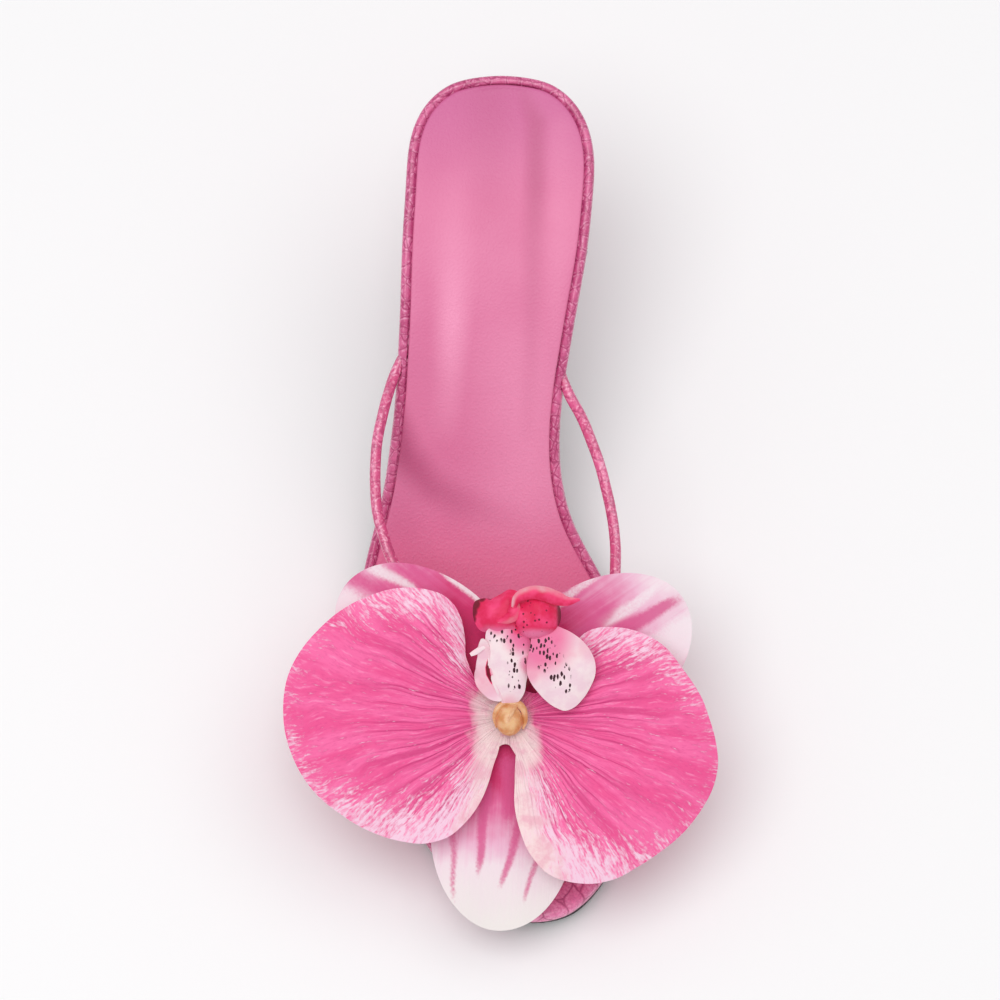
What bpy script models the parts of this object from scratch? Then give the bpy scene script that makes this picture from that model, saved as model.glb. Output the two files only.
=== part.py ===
"""Right sandal with a high heel, a toe post and an orchid on the straps.

The shoe stands on the floor z = 0 with its toe towards -Y and its inner (big toe) side towards +X.
The origin is the middle of the heel tip's foot. Sizes are in metres.
"""

import math
from collections import namedtuple

import bmesh
import bpy
import numpy as np
from mathutils import Euler, Matrix, Vector

MM = 0.001

# Sole and heel
SOLE_LENGTH = 231 * MM  # heel back to toe tip, along the floor
HEEL_HEIGHT = 75 * MM  # floor to the rim at the heel back
HEEL_WIDTH = 53.5 * MM
WAIST_WIDTH = 47.5 * MM
BALL_WIDTH = 79.5 * MM
HEEL_SETBACK = 18 * MM  # how far the heel back stands behind the heel tip
BOARD_THICKNESS = 4.5 * MM
RECESS_DEPTH = 1.2 * MM  # the wrapped board's tray for the sock
SOCK_THICKNESS = 0.9 * MM
OUTSOLE_THICKNESS = 2.0 * MM
RIM_WIDTH = 2.7 * MM
TOE_RIM_WIDTH = 8.0 * MM
CUP_DEPTH = 1.3 * MM  # hollow under the wearer's heel
HEEL_TIP_LENGTH = 9.6 * MM
HEEL_TIP_WIDTH = 9.2 * MM
HEEL_TIP_THICKNESS = 5.0 * MM
GAP = 0.3 * MM  # between touching pieces

# Straps and toe post
STRAP_RADIUS = 1.55 * MM
TUCK_RADIUS = 0.33 * (BOARD_THICKNESS - RECESS_DEPTH)  # the skived strap end under the board
POST_RADIUS = 2.0 * MM
POST_X = 0.125 * BALL_WIDTH

# Flower, in its own frame: x to the inner side, y towards the heel, z away from the foot
HUB_HEIGHT = 36.5 * MM  # flower hub above the floor
HUB_X = 0.029 * BALL_WIDTH
HUB_SETBACK = 0.1527 * HUB_HEIGHT  # how far the hub stands behind the toe post
FLOWER_TILT = math.radians(14)  # the flower leans towards the toe
SHEET = 0.9 * MM  # petal thickness
PETAL_SIZE = 36 * MM
PETAL_OFFSET = 0.86 * PETAL_SIZE  # hub to the middle of a petal
SEPAL_LENGTH = 59 * MM
SEPAL_HALF_WIDTH = 20.3 * MM
LIP_LENGTH = 36 * MM  # hub to the top of the hood
LIP_HEIGHT = 15 * MM
HOOD_WALL = 1.0 * MM
STALK_RADIUS = 1.1 * MM
COLUMN_LENGTH = 9.4 * MM
COLUMN_WIDTH = 8.0 * MM
COLUMN_SHIFT = -0.12 * COLUMN_LENGTH
HUB_RADIUS = 0.5 * COLUMN_LENGTH + 2 * STALK_RADIUS + 2 * GAP
HUB_THICKNESS = 2 * SHEET

# Stations of the sole: share of its length from the heel back, full width,
# middle line to the inner side, and height as a share of the rise from ball to heel.
Station = namedtuple("Station", "share width middle rise")
STATIONS = (
    Station(0.00, 1.00 * HEEL_WIDTH, 0.000 * BALL_WIDTH, 1.000),
    Station(0.10, 1.00 * HEEL_WIDTH, 0.000 * BALL_WIDTH, 0.935),
    Station(0.20, 0.99 * HEEL_WIDTH, -0.018 * BALL_WIDTH, 0.850),
    Station(0.30, 1.045 * WAIST_WIDTH, -0.050 * BALL_WIDTH, 0.690),
    Station(0.39, 1.00 * WAIST_WIDTH, -0.084 * BALL_WIDTH, 0.465),
    Station(0.45, 1.045 * WAIST_WIDTH, -0.099 * BALL_WIDTH, 0.305),
    Station(0.50, 0.705 * BALL_WIDTH, -0.098 * BALL_WIDTH, 0.180),
    Station(0.55, 0.840 * BALL_WIDTH, -0.073 * BALL_WIDTH, 0.095),
    Station(0.60, 0.945 * BALL_WIDTH, -0.048 * BALL_WIDTH, 0.040),
    Station(0.67, 1.00 * BALL_WIDTH, -0.025 * BALL_WIDTH, 0.000),
    Station(0.80, 0.935 * BALL_WIDTH, 0.035 * BALL_WIDTH, 0.000),
    Station(0.90, 0.820 * BALL_WIDTH, 0.085 * BALL_WIDTH, 0.014),
    Station(1.00, 0.720 * BALL_WIDTH, 0.115 * BALL_WIDTH, 0.056),
)
HEEL_ROUND = (0.125, 2.4)  # share of the length over which the heel end closes, and its fullness
TOE_ROUND = (0.24, 2.15)
BREAST = 0.215  # where the heel's front face meets the sole
POST_SHARE = 0.804
STATION_COUNT = 40
STACK = BOARD_THICKNESS + GAP + OUTSOLE_THICKNESS
STRAP_RISE = 0.9 * (HUB_HEIGHT - STACK)  # highest strap point above the footbed

# Heel sections: share of the way up, then back, front and half width as shares of the step from
# the tip's foot to the seat.
HeelSection = namedtuple("HeelSection", "up back front half")
HEEL_SECTIONS = (
    HeelSection(0.00, 0.00, 0.00, 0.00),
    HeelSection(0.20, 0.01, 0.00, 0.015),
    HeelSection(0.40, 0.06, 0.015, 0.05),
    HeelSection(0.55, 0.14, 0.05, 0.115),
    HeelSection(0.68, 0.27, 0.12, 0.23),
    HeelSection(0.79, 0.45, 0.26, 0.42),
    HeelSection(0.88, 0.66, 0.48, 0.66),
    HeelSection(0.95, 0.86, 0.76, 0.88),
    HeelSection(1.00, 1.00, 1.00, 1.00),
)

# Strap routes from the tucked end to the hub: share of the sole's length, how far beyond the sole's
# edge as a share of half the ball width, and lift as a share of the strap rise. A lift of None is
# a point inside the board.
Step = namedtuple("Step", "share beyond lift")
LATERAL_ROUTE = (
    Step(0.275, -0.265, None),
    Step(0.305, -0.135, None),
    Step(0.345, 0.005, -0.05),
    Step(0.375, 0.046, 0.14),
    Step(0.405, 0.068, 0.32),
    Step(0.434, 0.070, 0.48),
    Step(0.463, 0.056, 0.63),
    Step(0.491, 0.008, 0.74),
    Step(0.520, -0.064, 0.83),
    Step(0.549, -0.152, 0.92),
    Step(0.584, -0.272, 0.98),
    Step(0.638, -0.500, 0.98),
    Step(0.705, -0.745, 0.92),
)
MEDIAL_ROUTE = (
    Step(0.295, -0.285, None),
    Step(0.330, -0.120, None),
    Step(0.368, 0.036, -0.03),
    Step(0.400, 0.152, 0.17),
    Step(0.430, 0.224, 0.37),
    Step(0.459, 0.264, 0.54),
    Step(0.488, 0.260, 0.67),
    Step(0.518, 0.216, 0.78),
    Step(0.548, 0.118, 0.87),
    Step(0.578, 0.020, 0.94),
    Step(0.615, -0.088, 0.98),
    Step(0.662, -0.265, 0.97),
    Step(0.718, -0.535, 0.93),
)

# Petal outlines about the middle of each petal: degrees from the outward direction towards the
# heel side, and reach as a share of the petal size.
PETAL_LEFT = (
    (0, 0.875), (24, 0.898), (44, 0.90), (60, 0.918), (76, 0.947), (89, 0.978), (100, 0.994),
    (108, 0.995), (115, 0.97), (122, 0.905), (130, 0.80), (140, 0.69), (153, 0.66), (171, 0.70),
    (184, 0.76), (198, 0.82), (206, 0.828), (216, 0.868), (227, 0.925), (237, 0.973),
    (249, 1.014), (257, 1.008), (267, 0.97), (285, 0.905), (304, 0.866), (334, 0.86),
)
PETAL_RIGHT = (
    (0, 0.794), (10, 0.795), (26, 0.778), (38, 0.77), (53, 0.79), (65, 0.812), (73, 0.84),
    (83, 0.895), (94, 0.94), (109, 0.969), (117, 0.973), (123, 0.955), (129, 0.90), (142, 0.79),
    (160, 0.762), (180, 0.75), (200, 0.76), (215, 0.797), (227, 0.867), (239, 0.941),
    (250, 1.014), (262, 1.058), (277, 1.025), (289, 0.965), (301, 0.885), (315, 0.828),
    (330, 0.80), (345, 0.788),
)
PETAL_LEFT_HEADING = math.radians(180)
PETAL_RIGHT_HEADING = math.radians(-19.6)
SEPAL_HEADINGS = tuple(math.radians(a) for a in (267.0, 140.0, 35.0))

# Leaves of the lip: route in shares of the lip's length, length and height, then half widths along
# it as shares of the lip's length, and how far the sides fall.
LipLeaf = namedtuple("LipLeaf", "name route widths fall")
LIP_LEAVES = (
    LipLeaf(
        "lobe_outer",
        ((-0.01, 0.68, 0.80), (-0.01, 0.50, 0.75), (0.0, 0.32, 0.59), (-0.02, 0.10, 0.38)),
        ((0, 0.150), (0.3, 0.158), (0.6, 0.128), (0.85, 0.090), (1, 0.040)),
        0.25,
    ),
    LipLeaf(
        "lobe_inner",
        ((0.125, 0.68, 0.80), (0.265, 0.515, 0.80), (0.37, 0.32, 0.68), (0.433, 0.05, 0.46)),
        ((0, 0.140), (0.35, 0.240), (0.6, 0.252), (0.85, 0.175), (1, 0.055)),
        0.18,
    ),
    LipLeaf(
        "horn_inner",
        ((0.014, 0.805, 0.90), (0.18, 0.915, 1.08), (0.36, 0.90, 1.02), (0.528, 0.86, 0.90)),
        ((0, 0.060), (0.5, 0.055), (0.8, 0.040), (1, 0.014)),
        0.3,
    ),
    LipLeaf(
        "horn_outer",
        ((0.03, 0.805, 0.90), (-0.097, 0.84, 1.00), (-0.21, 0.79, 0.93), (-0.283, 0.695, 0.78)),
        ((0, 0.065), (0.5, 0.070), (0.8, 0.055), (1, 0.020)),
        0.3,
    ),
    LipLeaf(
        "wing",
        ((-0.125, 0.665, 0.72), (-0.195, 0.47, 0.48), (-0.19, 0.29, 0.28), (-0.133, 0.145, 0.16)),
        ((0, 0.060), (0.35, 0.085), (0.7, 0.070), (1, 0.028)),
        0.2,
    ),
    LipLeaf(
        "tendril",
        ((-0.14, 0.61, 0.65), (-0.18, 0.585, 0.68), (-0.235, 0.53, 0.67), (-0.286, 0.49, 0.62)),
        ((0, 0.024), (0.5, 0.022), (1, 0.012)),
        0.2,
    ),
)
STALK_ROUTE = ((0.097, 0.222, 0.22), (0.167, 0.305, 0.36), (0.167, 0.445, 0.54), (0.11, 0.61, 0.76))

COLOURS = {
    "croc": ((0.62, 0.10, 0.24), 0.35),
    "sock": ((0.72, 0.17, 0.36), 0.45),
    "outsole": ((0.035, 0.02, 0.025), 0.6),
    "petal": ((0.88, 0.22, 0.42), 0.6),
    "sepal": ((0.85, 0.60, 0.70), 0.6),
    "lip": ((0.80, 0.06, 0.18), 0.5),
    "column": ((0.90, 0.52, 0.25), 0.4),
}


def through_rows(at, rows, values):
    """Smooth curve through table rows that never overshoots them."""
    at = np.clip(np.asarray(at, float), rows[0], rows[-1])
    rows, values = np.asarray(rows, float), np.asarray(values, float)
    step = np.diff(rows)
    slope = np.diff(values) / step
    tangent = np.zeros(len(rows))
    tangent[0], tangent[-1] = slope[0], slope[-1]
    same = slope[:-1] * slope[1:] > 0
    before, after = 2 * step[1:] + step[:-1], step[1:] + 2 * step[:-1]
    blend = np.where(same, slope[:-1] * slope[1:], 0)
    divisor = np.where(same, before * slope[1:] + after * slope[:-1], 1)
    tangent[1:-1] = blend * (before + after) / divisor
    row = np.clip(np.searchsorted(rows, at, side="right") - 1, 0, len(step) - 1)
    t = (at - rows[row]) / step[row]
    return (
        (2 * t**3 - 3 * t**2 + 1) * values[row]
        + (t**3 - 2 * t**2 + t) * step[row] * tangent[row]
        + (3 * t**2 - 2 * t**3) * values[row + 1]
        + (t**3 - t**2) * step[row] * tangent[row + 1]
    )


def column(name):
    return [getattr(station, name) for station in STATIONS]


def rim_height(share):
    rise = HEEL_HEIGHT - STACK
    return STACK + rise * through_rows(share, column("share"), column("rise"))


def sole_y(share):
    return HEEL_SETBACK - SOLE_LENGTH * share


def share_of(y):
    return (HEEL_SETBACK - y) / SOLE_LENGTH


def last_point(share, x, depth=0.0):
    """A point at a depth, negative downwards, square to the footbed's long profile."""
    share = float(share)
    near = 0.002
    low, high = max(share - near, 0.0), min(share + near, 1.0)
    fall = float(rim_height(low) - rim_height(high))
    run = SOLE_LENGTH * (high - low)
    across = math.hypot(fall, run)
    return Vector((
        x,
        sole_y(share) - depth * fall / across,
        float(rim_height(share)) + depth * run / across,
    ))


def above(share, x, lift):
    """A point straight above the footbed's rim height."""
    return Vector((x, sole_y(share), float(rim_height(share)) + lift))


def end_round(share):
    """Share of the full width that is left near the round heel and toe."""
    left = 1.0
    for distance, (reach, fullness) in ((share, HEEL_ROUND), (1 - share, TOE_ROUND)):
        if distance < reach:
            inward = 1 - max(distance, 0) / reach
            left *= max(1 - inward**fullness, 0) ** (1 / fullness)
    return left


def edge(share, side):
    """x of the sole's edge: side -1 is the outer side, +1 the inner one."""
    half = float(through_rows(share, column("share"), column("width"))) / 2
    middle = float(through_rows(share, column("share"), column("middle")))
    return middle + side * half * end_round(share)


def stations(first, last, count):
    """Shares from first to last, closer together at a round end."""
    turns = np.linspace(0, math.pi, count + 1)
    eased = (1 - np.cos(turns)) / 2
    even = np.linspace(0, 1, count + 1)
    blend = 0.75 * eased + 0.25 * even
    if first > 0:  # a square end needs no crowding
        blend = np.sin(turns / 2) * 0.6 + even * 0.4
    return first + (last - first) * blend


def plan_loop(first, last, count):
    """The outline seen from above as a closed loop, with the rows that join its two sides."""
    shares = stations(first, last, count)
    if last < 1:
        shares = first + last - stations(first, last, count)[::-1]
        if first == 0:
            shares = last * (1 - np.cos(np.linspace(0, math.pi / 2, count + 1)))
    outer = [(edge(s, -1), sole_y(s)) for s in shares]
    inner = [(edge(s, 1), sole_y(s)) for s in shares]
    tip_first, tip_last = first == 0, last == 1
    back = inner[::-1][1:] if tip_last else inner[::-1]
    back = back[:-1] if tip_first else back
    loop = np.array(outer + back)
    total = len(loop)
    shift = 0 if tip_first else 1
    rows = [(i, (total - shift - i) % total) for i in range(1 - shift, count + (not tip_last))]
    return loop, rows, tip_first, tip_last


def inset(loop, distance):
    """The loop moved inwards by one distance, or by one for each point."""
    ahead, behind = np.roll(loop, -1, axis=0), np.roll(loop, 1, axis=0)
    along = ahead - behind
    along /= np.linalg.norm(along, axis=1)[:, None]
    inward = np.stack([-along[:, 1], along[:, 0]], axis=1)
    return loop + inward * np.reshape(distance, (-1, 1))


def rim_width(loop):
    """Width of the wrapped rim around the sock: wider at the toe."""
    share = np.clip((share_of(loop[:, 1]) - 0.88) / 0.10, 0, 1)
    return RIM_WIDTH + (TOE_RIM_WIDTH - RIM_WIDTH) * share * share * (3 - 2 * share)


def cup(share, across):
    """Depth of the heel hollow, across running from -1 to 1 over the sock."""
    along = float(through_rows(share, (0, 0.12, 0.25, 0.48, 1), (0.25, 1, 0.85, 0, 0)))
    return -CUP_DEPTH * along * (1 - across * across)


def finish(bm, name, material, smooth_angle=35):
    """Turns a closed bmesh into a named object with its material."""
    bmesh.ops.recalc_face_normals(bm, faces=bm.faces)
    mesh = bpy.data.meshes.new(name)
    bm.to_mesh(mesh)
    bm.free()
    mesh.shade_smooth()
    mesh.set_sharp_from_angle(angle=math.radians(smooth_angle))
    obj = bpy.data.objects.new(name, mesh)
    bpy.context.scene.collection.objects.link(obj)
    paint(obj, material)
    return obj


def paint(obj, material):
    found = bpy.data.materials.get(material)
    if found is None:
        colour, roughness = COLOURS[material]
        found = bpy.data.materials.new(material)
        found.use_nodes = True
        shader = found.node_tree.nodes["Principled BSDF"]
        shader.inputs["Base Color"].default_value = (*colour, 1)
        shader.inputs["Roughness"].default_value = roughness
    obj.data.materials.clear()
    obj.data.materials.append(found)


def join_rings(bm, rings):
    for upper, lower in zip(rings, rings[1:]):
        for i in range(len(upper)):
            j = (i + 1) % len(upper)
            bm.faces.new((upper[i], lower[i], lower[j], upper[j]))


def fill_loop(bm, ring, rows, tip_first, tip_last, columns, depth_of):
    """Fills a ring with cross rows, so that the face follows the footbed's bend."""
    placed = []
    for number, (left, right) in enumerate(rows):
        a, b = ring[left], ring[right]
        at_square_end = (number == 0 and not tip_first) or (number == len(rows) - 1 and not tip_last)
        row = [a]
        for c in range(1, 1 if at_square_end else columns):
            share_across = c / columns
            x = a.co.x + (b.co.x - a.co.x) * share_across
            y = a.co.y + (b.co.y - a.co.y) * share_across
            z = a.co.z + (b.co.z - a.co.z) * share_across
            z += depth_of(share_of(y), 2 * share_across - 1)
            row.append(bm.verts.new((x, y, z)))
        row.append(b)
        placed.append(row)
    for row, following in zip(placed, placed[1:]):
        if len(row) != len(following):
            bm.faces.new((*row, *following[::-1]))
            continue
        for c in range(columns):
            bm.faces.new((row[c], following[c], following[c + 1], row[c + 1]))
    tips = []
    if tip_first:
        tips.append((ring[0], placed[0]))
    if tip_last:
        tips.append((ring[rows[-1][0] + 1], placed[-1]))
    for tip, row in tips:
        for c in range(columns):
            bm.faces.new((tip, row[c], row[c + 1]))


def flat(share, across):
    return 0.0


def slab(name, material, first, count, rings, top, bottom):
    """A plate that follows the last. Rings run from the top middle, round the edge, to the bottom.

    Top and bottom are each a number of columns and a depth function.
    """
    loop, rows, tip_first, tip_last = plan_loop(first, 1, count)
    bm = bmesh.new()
    made = []
    for distance, depth in rings(loop):
        moved = inset(loop, distance)
        made.append([bm.verts.new(last_point(share_of(y), x, depth)) for x, y in moved])
    join_rings(bm, made)
    fill_loop(bm, made[0], rows, tip_first, tip_last, *top)
    fill_loop(bm, made[-1], rows, tip_first, tip_last, *bottom)
    return finish(bm, name, material)


def board_rings(loop):
    rim = rim_width(loop)
    return (
        (rim, -RECESS_DEPTH),
        (rim - 0.15 * MM, -0.35 * RECESS_DEPTH),
        (0.62 * rim, 0.0),
        (0.25 * RIM_WIDTH, -0.05 * BOARD_THICKNESS),
        (0.04 * RIM_WIDTH, -0.22 * BOARD_THICKNESS),
        (0.0, -0.5 * BOARD_THICKNESS),
        (0.04 * RIM_WIDTH, -0.8 * BOARD_THICKNESS),
        (0.30 * RIM_WIDTH, -BOARD_THICKNESS),
    )


def sock_rings(loop):
    rim = rim_width(loop) + GAP
    top = GAP + SOCK_THICKNESS - RECESS_DEPTH
    return (
        (rim + 0.8 * MM, top),
        (rim + 0.2 * MM, top - 0.2 * SOCK_THICKNESS),
        (rim, top - 0.5 * SOCK_THICKNESS),
        (rim, top - SOCK_THICKNESS),
    )


def outsole_rings(loop):
    top = -BOARD_THICKNESS - GAP
    return (
        (0.40 * RIM_WIDTH, top),
        (0.10 * RIM_WIDTH, top - 0.25 * OUTSOLE_THICKNESS),
        (0.10 * RIM_WIDTH, top - 0.75 * OUTSOLE_THICKNESS),
        (0.40 * RIM_WIDTH, top - OUTSOLE_THICKNESS),
    )


def heel():
    """The covered heel: the seat's outline drawn down to the small tip."""
    loop, rows, tip_first, tip_last = plan_loop(0, BREAST, 12)
    seat = inset(loop, np.where(share_of(loop[:, 1]) > BREAST - 0.001, 0.0, 0.30 * RIM_WIDTH))
    back, front = seat[:, 1].max(), sole_y(BREAST)
    half = (seat[:, 0].max() - seat[:, 0].min()) / 2
    middle = (seat[:, 0].max() + seat[:, 0].min()) / 2
    foot = HEEL_TIP_THICKNESS + GAP
    names = ("up", "back", "front", "half")
    ups, backs, fronts, halves = ([getattr(s, n) for s in HEEL_SECTIONS] for n in names)
    bm = bmesh.new()
    made = []
    for up in np.linspace(1, 0, 17) ** 0.75:
        b = HEEL_TIP_LENGTH / 2 + (back - HEEL_TIP_LENGTH / 2) * float(through_rows(up, ups, backs))
        f = -HEEL_TIP_LENGTH / 2
        f += (front - f) * float(through_rows(up, ups, fronts))
        w = HEEL_TIP_WIDTH / 2 + (half - HEEL_TIP_WIDTH / 2) * float(through_rows(up, ups, halves))
        ring = []
        for x, y in seat:
            top = last_point(share_of(y), x, -BOARD_THICKNESS - GAP)
            along = (y - front) / (back - front)
            slim_y = f + (b - f) * along
            slim_x = middle * up + (x - middle) * w / half
            lean = (top.y - y) * up**6
            ring.append(bm.verts.new((slim_x, slim_y + lean, foot + (top.z - foot) * up)))
        made.append(ring)
    join_rings(bm, made)
    fill_loop(bm, made[0], rows, tip_first, tip_last, 2, flat)
    bm.faces.new(made[-1][::-1])
    return finish(bm, "heel", "croc", 50)


def heel_tip():
    """The top piece that the heel stands on: the foot of the heel, a little proud and flat below."""
    loop, _, _, _ = plan_loop(0, BREAST, 12)
    back, front = loop[:, 1].max(), loop[:, 1].min()
    half = (loop[:, 0].max() - loop[:, 0].min()) / 2
    middle = (loop[:, 0].max() + loop[:, 0].min()) / 2
    bm = bmesh.new()
    made = []
    for scale, z in ((1.0, HEEL_TIP_THICKNESS), (1.04, 0.6 * HEEL_TIP_THICKNESS), (1.0, 0.0)):
        ring = []
        for x, y in loop:
            along = (y - front) / (back - front) - 0.5
            ring.append(bm.verts.new((
                scale * (x - middle) * HEEL_TIP_WIDTH / (2 * half),
                scale * along * HEEL_TIP_LENGTH,
                z,
            )))
        made.append(ring)
    join_rings(bm, made)
    bm.faces.new(made[0])
    bm.faces.new(made[-1][::-1])
    return finish(bm, "heel_tip", "outsole")


def smooth_route(points, count):
    """A smooth curve through the points, as evenly spaced points."""
    points = [Vector(p) for p in points]
    padded = [2 * points[0] - points[1], *points, 2 * points[-1] - points[-2]]
    dense = []
    for a, b, c, d in zip(padded, padded[1:], padded[2:], padded[3:]):
        for t in np.linspace(0, 1, 12, endpoint=False):
            dense.append(0.5 * (2 * b + (c - a) * t + (2 * a - 5 * b + 4 * c - d) * t**2
                                + (3 * b - a - 3 * c + d) * t**3))
    dense.append(points[-1])
    lengths = np.cumsum([0] + [(b - a).length for a, b in zip(dense, dense[1:])])
    wanted = np.linspace(0, lengths[-1], count)
    return [Vector([np.interp(w, lengths, [p[i] for p in dense]) for i in range(3)]) for w in wanted]


def tube(name, material, points, radii, sides_level=3):
    """A round rod along the points, made by a bevelled curve."""
    curve = bpy.data.curves.new(name, "CURVE")
    curve.dimensions = "3D"
    curve.bevel_depth = 1.0
    curve.bevel_resolution = sides_level
    curve.use_fill_caps = True
    spline = curve.splines.new("POLY")
    spline.points.add(len(points) - 1)
    for point, place, radius in zip(spline.points, points, radii):
        point.co = (*place, 1)
        point.radius = radius
    guide = bpy.data.objects.new(name + "_guide", curve)
    bpy.context.scene.collection.objects.link(guide)
    bpy.context.view_layer.update()
    evaluated = guide.evaluated_get(bpy.context.evaluated_depsgraph_get())
    mesh = bpy.data.meshes.new_from_object(evaluated)
    bpy.data.objects.remove(guide)
    bm = bmesh.new()
    bm.from_mesh(mesh)
    bpy.data.meshes.remove(mesh)
    bmesh.ops.remove_doubles(bm, verts=bm.verts, dist=1e-6)
    return finish(bm, name, material, 60)


def combine(target, other, operation):
    """Boolean with a second object, which becomes a hidden helper."""
    modifier = target.modifiers.new(operation.lower(), "BOOLEAN")
    modifier.operation = operation
    modifier.solver = "EXACT"
    modifier.object = other
    other.hide_render = True
    other.display_type = "WIRE"


def flower_matrix():
    hub_y = sole_y(POST_SHARE) + HUB_SETBACK
    return Matrix.Translation((HUB_X, hub_y, HUB_HEIGHT)) @ Euler((FLOWER_TILT, 0, 0)).to_matrix().to_4x4()


def flower_stack():
    """Levels along the flower's axis: the middle planes of petals and sepals, the strap under them."""
    petals = -0.5 * HUB_THICKNESS
    sepals = petals - HUB_THICKNESS - GAP
    strap = sepals - 0.5 * HUB_THICKNESS - GAP - STRAP_RADIUS
    return petals, sepals, strap


def strap_junction():
    return flower_matrix() @ Vector((0, 0, flower_stack()[2]))


def route_points(route, side):
    points = []
    for step in route:
        x = edge(step.share, side) + side * step.beyond * BALL_WIDTH / 2
        if step.lift is None:
            points.append(last_point(step.share, x, TUCK_RADIUS - BOARD_THICKNESS))
        else:
            points.append(above(step.share, x, step.lift * STRAP_RISE))
    return points


def thong():
    """Both straps in one run through the junction, and the toe post that holds it."""
    junction = strap_junction()
    run = route_points(LATERAL_ROUTE, -1) + [junction] + route_points(MEDIAL_ROUTE, 1)[::-1]
    points = smooth_route(run, 76)
    radii = []
    for i in range(len(points)):
        from_end = min(i, len(points) - 1 - i)
        grown = min(max((from_end - 3) / 5, 0), 1)
        radii.append(TUCK_RADIUS + (STRAP_RADIUS - TUCK_RADIUS) * grown)
    straps = tube("thong_upper", "croc", points, radii)
    foot = last_point(POST_SHARE, POST_X, -BOARD_THICKNESS + GAP)
    throat = last_point(POST_SHARE, POST_X, POST_RADIUS)
    above_throat = last_point(POST_SHARE, POST_X, 2.5 * POST_RADIUS)
    way = smooth_route((foot, throat, above_throat, junction.lerp(above_throat, 0.45), junction), 16)
    post = tube("post_part", "croc", way, [POST_RADIUS] * len(way))
    combine(straps, post, "UNION")
    return straps, points, radii, foot, throat


def cut_for_straps(board, sock, points, radii, foot, throat):
    """Grooves under the board for the tucked strap ends, and the toe post's hole."""
    for name, ends in (("outer", slice(0, 16)), ("inner", slice(-16, None))):
        groove = tube(name + "_groove", "croc", points[ends], [r + GAP for r in radii[ends]])
        combine(board, groove, "DIFFERENCE")
    reach = (throat - foot).normalized() * 2 * BOARD_THICKNESS
    hole = tube("post_hole", "croc", (foot - reach, throat + reach), [POST_RADIUS + GAP] * 2)
    combine(board, hole, "DIFFERENCE")
    combine(sock, hole, "DIFFERENCE")


def sheet(name, material, middle, outline, height, rings=4):
    """A thin leaf: rings about its middle out to its outline, bent by the height function."""
    bm = bmesh.new()
    top, bottom = [], []
    for side, made in ((0.5, top), (-0.5, bottom)):
        made.append([bm.verts.new((*middle, height(*middle, 0.0) + side * SHEET))])
        for r in range(1, rings + 1):
            q = r / rings
            ring = []
            for x, y in outline:
                px, py = middle[0] + (x - middle[0]) * q, middle[1] + (y - middle[1]) * q
                ring.append(bm.verts.new((px, py, height(px, py, q) + side * SHEET)))
            made.append(ring)
    for made in (top, bottom):
        centre, first = made[0][0], made[1]
        for i in range(len(first)):
            bm.faces.new((centre, first[i], first[(i + 1) % len(first)]))
        join_rings(bm, made[1:])
    join_rings(bm, [top[-1], bottom[-1]])
    return finish(bm, name, material, 50)


def disc(name, material, radius, thickness, level, sides=24):
    bm = bmesh.new()
    bmesh.ops.create_cone(
        bm, cap_ends=True, segments=sides, radius1=radius, radius2=radius, depth=thickness,
        matrix=Matrix.Translation((0, 0, level)),
    )
    return finish(bm, name, material)


def eased(value, low, high):
    t = min(max((value - low) / (high - low), 0), 1)
    return t * t * (3 - 2 * t)


def petal_height(x, y, q):
    """Petals rise from the hub, arch over and droop a little at their margins."""
    reach = math.hypot(x, y)
    past_hub = max(reach - 0.8 * HUB_RADIUS, 0) / PETAL_SIZE
    arch = 0.15 * PETAL_SIZE * math.sin(0.5 * math.pi * min(past_hub, 2))
    away = eased(reach, 0.28 * PETAL_SIZE, 0.8 * PETAL_SIZE)
    margin = -0.05 * PETAL_SIZE * q**3 * away
    ripple = 0.014 * PETAL_SIZE * q * q * away * math.sin(6 * math.atan2(y, x) + 0.6)
    return flower_stack()[0] + arch + margin + ripple


def petal(name, table, heading):
    """One broad petal, from its table of reaches about its own middle."""
    middle = Vector((math.cos(heading), math.sin(heading))) * PETAL_OFFSET
    mirrored = -1 if math.cos(heading) < 0 else 1
    degrees = [row[0] for row in table] + [360]
    reaches = [row[1] for row in table] + [table[0][1]]
    outline = []
    for turn in np.linspace(0, 360, 36, endpoint=False):
        reach = PETAL_SIZE * float(through_rows(turn, degrees, reaches))
        angle = heading + mirrored * math.radians(turn)
        outline.append((middle.x + reach * math.cos(angle), middle.y + reach * math.sin(angle)))
    return sheet(name, "petal", tuple(middle), outline, petal_height)


def sepal(name, heading):
    """An oval sepal that leans back from the hub."""
    axis = Vector((math.cos(heading), math.sin(heading)))
    side = Vector((-axis.y, axis.x))
    centre = 0.5 * SEPAL_LENGTH
    outline = []
    for turn in np.linspace(0, 2 * math.pi, 24, endpoint=False):
        c, s = math.cos(turn), math.sin(turn)
        reach = (SEPAL_LENGTH - centre) if c > 0 else centre - 0.2 * HUB_RADIUS
        along = centre + reach * c
        taper = 1 - 0.6 * max(-c, 0) ** 2
        place = axis * along + side * SEPAL_HALF_WIDTH * s * taper
        outline.append((place.x, place.y))

    def height(x, y, q):
        along = (x * axis.x + y * axis.y) / SEPAL_LENGTH
        across = (x * side.x + y * side.y) / SEPAL_HALF_WIDTH
        droop = 0.05 * SEPAL_LENGTH * along * along
        return flower_stack()[1] - droop - 0.05 * SEPAL_HALF_WIDTH * across * across

    return sheet(name, "sepal", tuple(axis * centre), outline, height, 3)


def lip_point(x, y, z):
    """A point in the flower's frame from shares of the lip's length and height."""
    return Vector((x * LIP_LENGTH, y * LIP_LENGTH, z * LIP_HEIGHT))


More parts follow.
